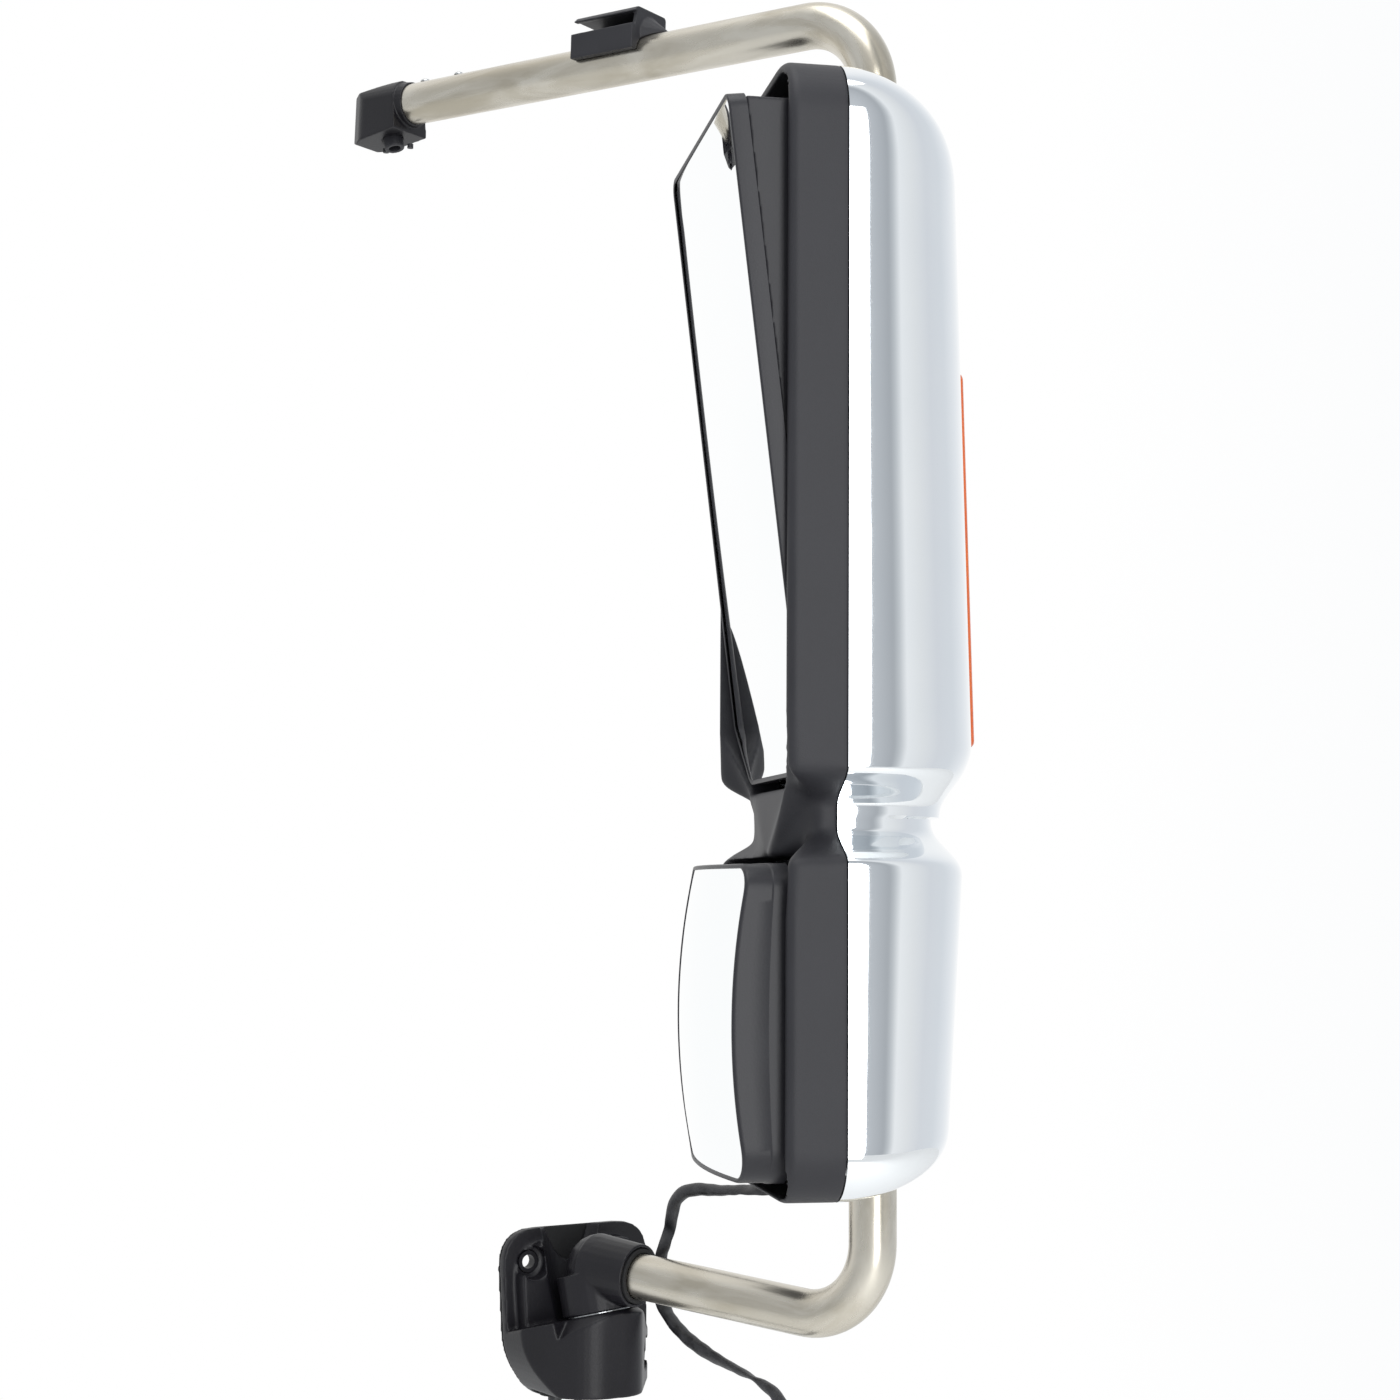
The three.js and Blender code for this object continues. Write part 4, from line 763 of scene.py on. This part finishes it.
# %% Bezel
def head_outline(inset):
    """The head's outline in (y, z), drawn in by inset, with the same number of points each time."""
    def squeeze(z):
        if z < HEAD_BOTTOM + 50:
            return HEAD_BOTTOM + inset + (z - HEAD_BOTTOM) * (50 - inset) / 50
        if z > HEAD_TOP - 50:
            return HEAD_TOP - inset - (HEAD_TOP - z) * (50 - inset) / 50
        return z
    steps = [1 - math.cos(math.pi / 2 * k / 16) for k in range(17)]
    levels = [HEAD_BOTTOM + CORNER_BOTTOM * s for s in steps] + [HEAD_TOP - CORNER_TOP * s for s in steps]
    levels += list(np.arange(WAIST_Z - 28, WAIST_Z + 28.1, 2.0))
    levels += list(np.arange(HEAD_BOTTOM + 45, WAIST_Z - 30, 12.0))
    levels += list(np.arange(WAIST_Z + 34, HEAD_TOP - 45, 12.0))
    levels = sorted(levels)
    side = [(max(1.0, half_width(z) - inset), squeeze(z)) for z in levels]
    return side + [(-y, z) for y, z in reversed(side)]


def lip_sink(base):
    share = (PARTING - base) / (PARTING - LIP)
    return lambda y, z: base + WAIST_SINK * waist(z) * share


SADDLE_REACH, SADDLE_SMOOTHING = 58, 230       # mm each way, and passes at a grain of 1 mm
PARTING_MARGIN, PARTING_FADE = 1.5, 12        # the edge at the parting stays as it is
THINNED = 0.4                                 # the share of faces kept after a remesh


def saddled(mesh, grain):
    """The mesh on an even grid of grain mm, eased a little all over and into a soft saddle at the waist."""
    gridded = worked(mesh, ("REMESH", {"mode": "VOXEL", "voxel_size": grain}))
    holder = scratch(gridded)
    near_waist = holder.vertex_groups.new(name="waist")
    for vertex in gridded.vertices:
        near = max(0.0, 1 - abs(vertex.co.z - WAIST_Z) / SADDLE_REACH)
        off_parting = min(1.0, max(0.0, (PARTING - PARTING_MARGIN - vertex.co.x) / PARTING_FADE))
        near_waist.add([vertex.index], near * off_parting, "REPLACE")
    for name, passes, group in (("ease", 2, ""), ("saddle", int(SADDLE_SMOOTHING / grain ** 2), "waist")):
        smooth = holder.modifiers.new(name, "SMOOTH")
        smooth.factor = 0.5
        smooth.iterations = passes
        smooth.vertex_group = group
    thin = holder.modifiers.new("thin", "DECIMATE")
    thin.ratio = THINNED
    result = baked(holder)
    bpy.data.objects.remove(holder)
    return result


rings = [at_depth(head_outline(0), PARTING - 0.3), at_depth(head_outline(0), lip_sink(LIP + LIP_R + 12))]
for k in range(9):
    angle = math.pi / 2 * k / 8
    radius = LIP_R * 0.999
    rings.append(at_depth(head_outline(radius * (1 - math.cos(angle))),
                          lip_sink(LIP + LIP_R * (1 - math.sin(angle)))))
frame_block = settle(skin("bezel", rings))
open_w = HEAD_HALF_W - BEZEL_WALL
upper_opening = rounded([
    (-open_w, HEAD_TOP - 8, 24), (-open_w, 370, 14), (-open_w + 30, 333, 14), (open_w - 30, 333, 14),
    (open_w, 370, 14), (open_w, HEAD_TOP - 8, 24)])
lower_opening = rounded([
    (-open_w, 292, 14), (-open_w, HEAD_BOTTOM + 3, 20), (open_w, HEAD_BOTTOM + 3, 20), (open_w, 292, 14)])
pocket = rounded([(-62, WAIST_Z - 18, 6), (62, WAIST_Z - 18, 6), (62, WAIST_Z + 12, 6),
                  (-62, WAIST_Z + 12, 6)])
bezel_mesh = cut(frame_block, [block_of(upper_opening, -120, 0), block_of(lower_opening, -120, 0),
                               block_of(pocket, -51, -30)])
bezel_mesh = saddled(bezel_mesh, 1.15)
bezel_piece = stand("bezel_frame", settle(bezel_mesh, crease=70, recalculate=False), HEAD, bezel_abs, "head",
                    ["bezel"])
print("bezel:", len(bezel_piece.data.polygons), "faces")

# %% [markdown]
# ## Flat glass and its holder
# The glass sits in a moulded tray with a thin lip all round. The tray is drawn as one section, run round
# the glass's outline and closed on itself, so the lip keeps its width round every corner.

# %% Flat glass
FLAT_BOTTOM, FLAT_TOP, FLAT_HALF_W, FLAT_FACE = 340.0, 726.0, 92.5, -85.7
FLAT_LEAN = math.radians(6.9)
GLASS_T, RIM, RIM_DEPTH = 3.0, 1.5, 10.5
CHAMFER_ACROSS, CHAMFER_UP = 30.0, 36.0
flat_half_h = (FLAT_TOP - FLAT_BOTTOM) / 2 / math.cos(FLAT_LEAN)
FLAT = (HEAD @ Matrix.Translation(Vector((FLAT_FACE, 0, (FLAT_TOP + FLAT_BOTTOM) / 2)) * MM)
        @ Matrix.Rotation(-FLAT_LEAN, 4, "Y"))
flat_corners = [
    (-FLAT_HALF_W, flat_half_h, 9), (-FLAT_HALF_W, -flat_half_h + CHAMFER_UP, 10),
    (-FLAT_HALF_W + CHAMFER_ACROSS, -flat_half_h, 10), (FLAT_HALF_W - CHAMFER_ACROSS, -flat_half_h, 10),
    (FLAT_HALF_W, -flat_half_h + CHAMFER_UP, 10), (FLAT_HALF_W, flat_half_h, 9)]


def section_round(corners, section):
    """Rings of an outline, one for each (inset, depth) of a section."""
    return [[(x, y, z) for y, z in rounded(corners, inset)] for inset, x in section]


glass_section = [(0.5, 0), (0.15, 0.1), (0, 0.4), (0, GLASS_T - 0.3), (0.3, GLASS_T)]
stand("flat_mirror_glass", settle(skin("flat", section_round(flat_corners, glass_section))),
                  FLAT, flat_silver, "flat_mirror", ["flat_glass"])
tray_section = [
    (-RIM, RIM_DEPTH - 0.3), (-RIM, 0.6), (-RIM + 0.12, 0.05), (-RIM + 0.4, -0.35), (-RIM + 0.85, -0.57),
    (-0.2, -0.6), (0.6, -0.55), (1.1, -0.4), (1.4, -0.16), (1.45, -0.08), (-0.25, -0.08), (-0.25, RIM_DEPTH)]
tray = skin("tray", section_round(flat_corners, tray_section), cyclic=True)
stand("flat_glass_tray", settle(tray, crease=30), FLAT, holder_pp, "flat_mirror", ["flat_holder"])
print("flat glass, mm:", 2 * FLAT_HALF_W, "x", round(2 * flat_half_h, 1))

# %% [markdown]
# ## Convex glass and its bowl
# The convex glass is a piece of a sphere of 420 mm radius. Its bowl follows the same sphere at the lip
# and is deep, with a small step halfway where the wall was drafted for the moulding tool.

# %% Convex glass
CONVEX_BOTTOM, CONVEX_TOP, CONVEX_HALF_W = 110.0, 287.0, 88.0
CONVEX_R, CONVEX_FACE, CONVEX_BACK = 420.0, -111.5, -70.0
convex_half_h = (CONVEX_TOP - CONVEX_BOTTOM) / 2
CONVEX = HEAD @ Matrix.Translation(Vector((CONVEX_FACE, 0, (CONVEX_TOP + CONVEX_BOTTOM) / 2)) * MM)
convex_corners = [
    (-CONVEX_HALF_W, convex_half_h, 16), (-CONVEX_HALF_W, -convex_half_h, 20),
    (CONVEX_HALF_W, -convex_half_h, 20), (CONVEX_HALF_W, convex_half_h, 16)]


def on_sphere(y, z, x):
    return x + CONVEX_R - math.sqrt(CONVEX_R ** 2 - y * y - z * z)


def even_round(points, count=240):
    """A closed outline through count evenly spaced points, so that its straight sides can bend too."""
    return even([*points, points[0]], count + 1)[:-1]


def shrunk(outline, share, x):
    return [(on_sphere(y * share, z * share, x), y * share, z * share) for y, z in outline]


rim_line = even_round(rounded(convex_corners, 0.3))
shares = [0.012, 0.06, 0.13, 0.21, 0.3, 0.39, 0.48, 0.57, 0.66, 0.75, 0.84, 0.92, 0.97, 1.0]
front = [shrunk(rim_line, share, 0) for share in shares]
back = [shrunk(rim_line, share, GLASS_T) for share in reversed(shares)]
stand("convex_mirror_glass", settle(skin("convex", front + back)), CONVEX, convex_silver,
                    "convex_mirror", ["convex_glass"])
bowl_depth = CONVEX_BACK - CONVEX_FACE


def blend_depth(y, z, x):
    fall = on_sphere(y, z, 0)
    share = min(1.0, max(0.0, x / bowl_depth))
    return x + fall * (1 - share)


bowl_section = [
    (-RIM, bowl_depth), (-RIM, bowl_depth * 0.62), (-RIM + 0.02, bowl_depth * 0.6),
    (-RIM + 0.5, bowl_depth * 0.57),
    (-RIM + 0.5, bowl_depth * 0.2), (-RIM + 0.45, 1.5), (-RIM + 0.55, 0.1), (-RIM + 0.85, -0.75),
    (-0.2, -1.15), (0.5, -1.2), (1.1, -1.0), (1.5, -0.4), (1.5, -0.05), (-0.1, -0.05), (-0.1, 8),
    (-0.1, bowl_depth)]
bowl_rings = [[(blend_depth(y, z, x), y, z) for y, z in even_round(rounded(convex_corners, inset))]
              for inset, x in bowl_section]
bowl = skin("bowl", bowl_rings, cyclic=True)
stand("convex_glass_bowl", settle(bowl, crease=30), CONVEX, holder_pp, "convex_mirror",
                    ["convex_holder"])
print("convex glass, mm:", 2 * CONVEX_HALF_W, "x", round(2 * convex_half_h, 1))

# %% [markdown]
# ## Tube loop, by Geometry Nodes
# The tube is a path with two bends and one round section, which is just what Curve to Mesh makes. The
# tree rounds the corners, sweeps the section, and stores where each point would lie on the straight tube,
# so that the polishing marks run round it even through the bends.

# %% Recipes: trees with named inputs
def recipe(name, **sizes):
    """A Geometry Nodes tree with a geometry input and named sizes. Returns the tree and its input node."""
    tree = bpy.data.node_groups.new(name, "GeometryNodeTree")
    tree.interface.new_socket("Geometry", in_out="INPUT", socket_type="NodeSocketGeometry")
    for label, kind in sizes.items():
        tree.interface.new_socket(label, in_out="INPUT", socket_type=kind)
    tree.interface.new_socket("Geometry", in_out="OUTPUT", socket_type="NodeSocketGeometry")
    return tree, tree.nodes.new("NodeGroupInput").outputs


def serve(tree, geometry, material):
    """Ends a recipe: instances made real, and the finish set."""
    real = add(tree, "GeometryNodeRealizeInstances", {0: geometry})
    dressed = add(tree, "GeometryNodeSetMaterial", {"Geometry": real.outputs[0], "Material": material})
    add(tree, "NodeGroupOutput", {0: dressed.outputs[0]})


def cook(tree, mesh, **sizes):
    """Runs a recipe on a mesh, with its sizes, and returns the plain mesh that comes out."""
    holder = scratch(mesh)
    step = holder.modifiers.new(tree.name, "NODES")
    step.node_group = tree
    for item in tree.interface.items_tree:
        if item.in_out == "INPUT" and item.name in sizes:
            step[item.identifier] = sizes[item.name]
    result = baked(holder)
    bpy.data.objects.remove(holder)
    return result


FLOAT, COUNT, VECTOR = "NodeSocketFloat", "NodeSocketInt", "NodeSocketVector"

# %% Tube recipe
tube_tree, given = recipe("bent tube", radius=FLOAT, lower_bend=FLOAT, upper_bend=FLOAT, sides=COUNT,
                          turns=COUNT)
line = add(tube_tree, "GeometryNodeMeshToCurve", {"Mesh": given["Geometry"]})
index = add(tube_tree, "GeometryNodeInputIndex")
later = add(tube_tree, "FunctionNodeCompare", {2: index.outputs[0], 3: 1}, data_type="INT",
            operation="GREATER_THAN")
bend = add(tube_tree, "GeometryNodeSwitch", {
    "Switch": later.outputs[0], "False": given["lower_bend"], "True": given["upper_bend"]},
    input_type="FLOAT")
fillet = add(tube_tree, "GeometryNodeFilletCurve", {
    "Curve": line.outputs[0], "Radius": bend.outputs[0], "Count": given["turns"]}, mode="POLY")
even_line = add(tube_tree, "GeometryNodeResampleCurve", {"Curve": fillet.outputs[0], "Length": 2.5},
                mode="LENGTH")
distance = add(tube_tree, "GeometryNodeSplineParameter").outputs["Length"]
held_line = add(tube_tree, "GeometryNodeCaptureAttribute", {"Geometry": even_line.outputs[0]})
held_line.capture_items.new("FLOAT", "run")
tube_tree.links.new(distance, held_line.inputs["run"])
circle = add(tube_tree, "GeometryNodeCurvePrimitiveCircle",
             {"Resolution": given["sides"], "Radius": given["radius"]})
held_ring = add(tube_tree, "GeometryNodeCaptureAttribute", {"Geometry": circle.outputs[0]})
held_ring.capture_items.new("VECTOR", "ring")
tube_tree.links.new(add(tube_tree, "GeometryNodeInputPosition").outputs[0], held_ring.inputs["ring"])
swept = add(tube_tree, "GeometryNodeCurveToMesh", {
    "Curve": held_line.outputs["Geometry"], "Profile Curve": held_ring.outputs["Geometry"],
    "Fill Caps": True})
split_ring = add(tube_tree, "ShaderNodeSeparateXYZ", {0: held_ring.outputs["ring"]})
straight_place = add(tube_tree, "ShaderNodeCombineXYZ", {
    0: held_line.outputs["run"], 1: split_ring.outputs[0], 2: split_ring.outputs[1]})
in_meters = add(tube_tree, "ShaderNodeVectorMath", {0: straight_place.outputs[0], "Scale": MM},
                operation="SCALE")
stored = add(tube_tree, "GeometryNodeStoreNamedAttribute", {
    "Geometry": swept.outputs[0], "Name": "unbent", "Value": in_meters.outputs[0]}, data_type="FLOAT_VECTOR")
serve(tube_tree, stored.outputs[0], stainless)

# %% Tube
ARM_LOWER, ARM_UPPER, LOWER_Z, UPPER_Z = 208.0, 413.0, 15.0, 813.0
LOWER_RISE, UPPER_RISE = math.radians(4.2), math.radians(2.5)
LOWER_BEND, UPPER_BEND = 46.0, 52.0


def on_lower(s):
    return Vector((-s, 0, LOWER_Z + s * math.tan(LOWER_RISE)))


def on_upper(s):
    return Vector((-s, 0, UPPER_Z + s * math.tan(UPPER_RISE)))


tube_line = bpy.data.meshes.new("tube line")
tube_line.from_pydata([on_lower(ARM_LOWER - 11), on_lower(0), on_upper(0), on_upper(ARM_UPPER - 27)],
                      [(0, 1), (1, 2), (2, 3)], [])
tube_mesh = cook(tube_tree, tube_line, radius=TUBE_R, lower_bend=LOWER_BEND, upper_bend=UPPER_BEND,
                 sides=72, turns=40)
loop_piece = stand("stainless_loop", settle(tube_mesh, crease=50), LOOP, stainless, "arm_loop", ["loop_tube"])
print("tube:", len(loop_piece.data.polygons), "faces")

# %% [markdown]
# ## Castings and mouldings
# A casting has no sharp edge: metal doesn't fill one, and powder coat pulls off it. So each black part of
# the base and the arm ends is a copy of its CAD node, remeshed finely and smoothed a little, which rounds
# every corner alike and fills every inner one, as a foundry pattern does.


def rounded_copy(node, grain, passes):
    """A CAD node's shape with its edges softened. grain is the voxel size in mm."""
    result = worked(settle(frame["nodes"][node].data.copy(), recalculate=False),
                    ("REMESH", {"mode": "VOXEL", "voxel_size": grain * MM}),
                    ("SMOOTH", {"factor": 0.5, "iterations": passes}),
                    ("DECIMATE", {"ratio": THINNED}))
    result.transform(Matrix.Scale(1 / MM, 4))
    return settle(result, crease=70, recalculate=False)


CASTINGS = [
    ("base_casting", "base_housing", 0.9, 7, powder_coat, "base", "cast_black"),
    ("door_seal", "door_gasket", 0.8, 2, rubber, "base", "seal_rubber"),
    ("arm_barrel", "arm_socket", 0.7, 6, powder_coat, "arm_loop", "cast_black"),
    ("barrel_seal", "socket_sleeve", 0.5, 3, rubber, "arm_loop", "seal_rubber"),
    ("upper_fitting", "end_fitting", 0.6, 5, powder_coat, "arm_loop", "cast_black"),
    ("pivot_bush", "pivot_bushing", 0.45, 3, nylon, "arm_loop", "satin_black"),
    ("bracket_clip", "arm_clip", 0.55, 3, nylon, "arm_loop", "satin_black"),
    ("flat_tray_back", "flat_backing", 1.2, 3, holder_pp, "flat_mirror", "satin_black"),
    ("lead_grommet", "base_grommet", 0.5, 3, rubber, "base", "seal_rubber"),
]
for name, node, grain, passes, material, body, slot in CASTINGS:
    piece = stand(name, rounded_copy(node, grain, passes), BASE, material, body, [node])
    print(name, len(piece.data.polygons), "faces")

# %% [markdown]
# ## Screws, by Geometry Nodes
# A button head with a hexagon socket is a dome with a six-sided hole. The tree makes one, and puts it
# wherever a point stands.

# %% Button heads
screw_tree, given = recipe("button head", radius=FLOAT, height=FLOAT, socket=FLOAT, axis=VECTOR)
dome_head = add(screw_tree, "GeometryNodeMeshUVSphere", {"Segments": 32, "Rings": 16, "Radius": 1.0})
flatten = add(screw_tree, "ShaderNodeCombineXYZ",
              {0: given["radius"], 1: given["radius"], 2: given["height"]})
button = add(screw_tree, "GeometryNodeTransform",
             {"Geometry": dome_head.outputs[0], "Scale": flatten.outputs[0]})
rest_on = add(screw_tree, "GeometryNodeMeshCylinder",
              {"Vertices": 6, "Radius": given["socket"], "Depth": given["height"]})
lift = add(screw_tree, "ShaderNodeCombineXYZ", {2: given["height"]})
raised = add(screw_tree, "GeometryNodeTransform",
             {"Geometry": rest_on.outputs[0], "Translation": lift.outputs[0]})
under = add(screw_tree, "GeometryNodeMeshCube")
big = add(screw_tree, "ShaderNodeMath", {0: given["radius"], 1: 4.0}, operation="MULTIPLY")
half = add(screw_tree, "ShaderNodeMath", {0: given["radius"], 1: -2.0}, operation="MULTIPLY")
size = add(screw_tree, "ShaderNodeCombineXYZ", {0: big.outputs[0], 1: big.outputs[0], 2: big.outputs[0]})
screw_tree.links.new(size.outputs[0], under.inputs["Size"])
down = add(screw_tree, "ShaderNodeCombineXYZ", {2: half.outputs[0]})
lowered = add(screw_tree, "GeometryNodeTransform",
              {"Geometry": under.outputs[0], "Translation": down.outputs[0]})
carved = add(screw_tree, "GeometryNodeMeshBoolean", {"Mesh 1": button.outputs[0]}, operation="DIFFERENCE")
screw_tree.links.new(raised.outputs[0], carved.inputs["Mesh 2"])
screw_tree.links.new(lowered.outputs[0], carved.inputs["Mesh 2"])
stand_up = add(screw_tree, "FunctionNodeAlignRotationToVector", {"Vector": given["axis"]}, axis="Z")
spread = add(screw_tree, "GeometryNodeInstanceOnPoints", {
    "Points": given["Geometry"], "Instance": carved.outputs[0], "Rotation": stand_up.outputs[0]})
serve(screw_tree, spread.outputs[0], zinc)


def points_mesh(points):
    mesh = bpy.data.meshes.new("points")
    mesh.from_pydata([tuple(point) for point in points], [], [])
    return mesh


def out_of_upper(s, height):
    normal = Vector((math.sin(UPPER_RISE), 0, math.cos(UPPER_RISE)))
    return on_upper(s) + normal * height, normal


SCREWS_FROM_END = (36, 68)
seats = [out_of_upper(ARM_UPPER - back, TUBE_R + 0.25) for back in SCREWS_FROM_END]
heads = cook(screw_tree, points_mesh([seat for seat, _ in seats]), radius=3.7, height=2.3, socket=1.3,
             axis=seats[0][1])
button_heads = stand("fitting_screw_heads", settle(heads), LOOP, zinc, "arm_loop")
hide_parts("fitting_screw_1", "fitting_screw_2")
print("screw heads:", len(button_heads.data.polygons), "faces")

# %% [markdown]
# ## Marker lamp
# A thin amber lens follows the crown of the chrome back. Inside it, flutes a few millimetres apart spread
# the light. They are one small prism repeated up the lens by a tree.

# %% Lens and flutes
LENS_ROUNDING = 0.3     # lower is squarer in its outline, seen from the end and from the side
LENS_PROUDER = 1.8      # the moulding stands this much further out than its CAD solid, in mm
lens_low, lens_high = local_box("marker_lens", HEAD)
lens_mid, lens_half = (LENS_LOW + LENS_HIGH) / 2, (LENS_HIGH - LENS_LOW) / 2
lens_rings = []
for inset, share in ((0.3, 0.0), (0.3, 0.55), (0.7, 0.8), (1.6, 0.93), (3.2, 0.99), (5.5, 1.0)):
    ring = []
    for y, z in rounded(lens_outline, inset):
        crown = back_depth(z) + PARTING
        swell = (1 - ((z - lens_mid) / (lens_half * 2.2)) ** 2) ** LENS_ROUNDING
        peak = lens_high[0] + LENS_PROUDER - (back_depth(lens_mid) + PARTING)
        roll = (1 - (y / (LENS_HALF_W * 1.5)) ** 2) ** LENS_ROUNDING
        top = crown + peak * swell * roll
        ring.append((lens_low[0] + (top - lens_low[0]) * share, y, z))
    lens_rings.append(ring)
stand("amber_lens", settle(skin("lens", lens_rings)), HEAD, amber, "head", ["marker_lens"])

flute_tree, given = recipe("flutes", width=FLOAT, depth=FLOAT, pitch=FLOAT, count=COUNT)
bar = add(flute_tree, "GeometryNodeMeshCylinder",
          {"Vertices": 12, "Radius": given["depth"], "Depth": given["width"]})
quarter = add(flute_tree, "ShaderNodeCombineXYZ", {0: math.pi / 2})
laid = add(flute_tree, "GeometryNodeTransform", {"Geometry": bar.outputs[0], "Rotation": quarter.outputs[0]})
step_up = add(flute_tree, "ShaderNodeCombineXYZ", {2: given["pitch"]})
ladder = add(flute_tree, "GeometryNodeMeshLine", {"Count": given["count"], "Offset": step_up.outputs[0]})
at_start = add(flute_tree, "GeometryNodeInstanceOnPoints",
               {"Points": given["Geometry"], "Instance": ladder.outputs[0]})
real_ladder = add(flute_tree, "GeometryNodeRealizeInstances", {0: at_start.outputs[0]})
flutes = add(flute_tree, "GeometryNodeInstanceOnPoints",
             {"Points": real_ladder.outputs[0], "Instance": laid.outputs[0]})
serve(flute_tree, flutes.outputs[0], amber)
flute_mesh = cook(flute_tree, points_mesh([(lens_low[0] - 1.2, 0, LENS_LOW + 9)]), width=15.0, depth=0.9,
                  pitch=3.0, count=72)
flute_piece = stand("lens_flutes", settle(flute_mesh), HEAD, amber, "head")
print("flutes:", len(flute_piece.data.polygons), "faces")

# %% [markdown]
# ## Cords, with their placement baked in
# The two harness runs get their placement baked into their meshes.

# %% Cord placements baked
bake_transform(upper_run)
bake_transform(lower_run)
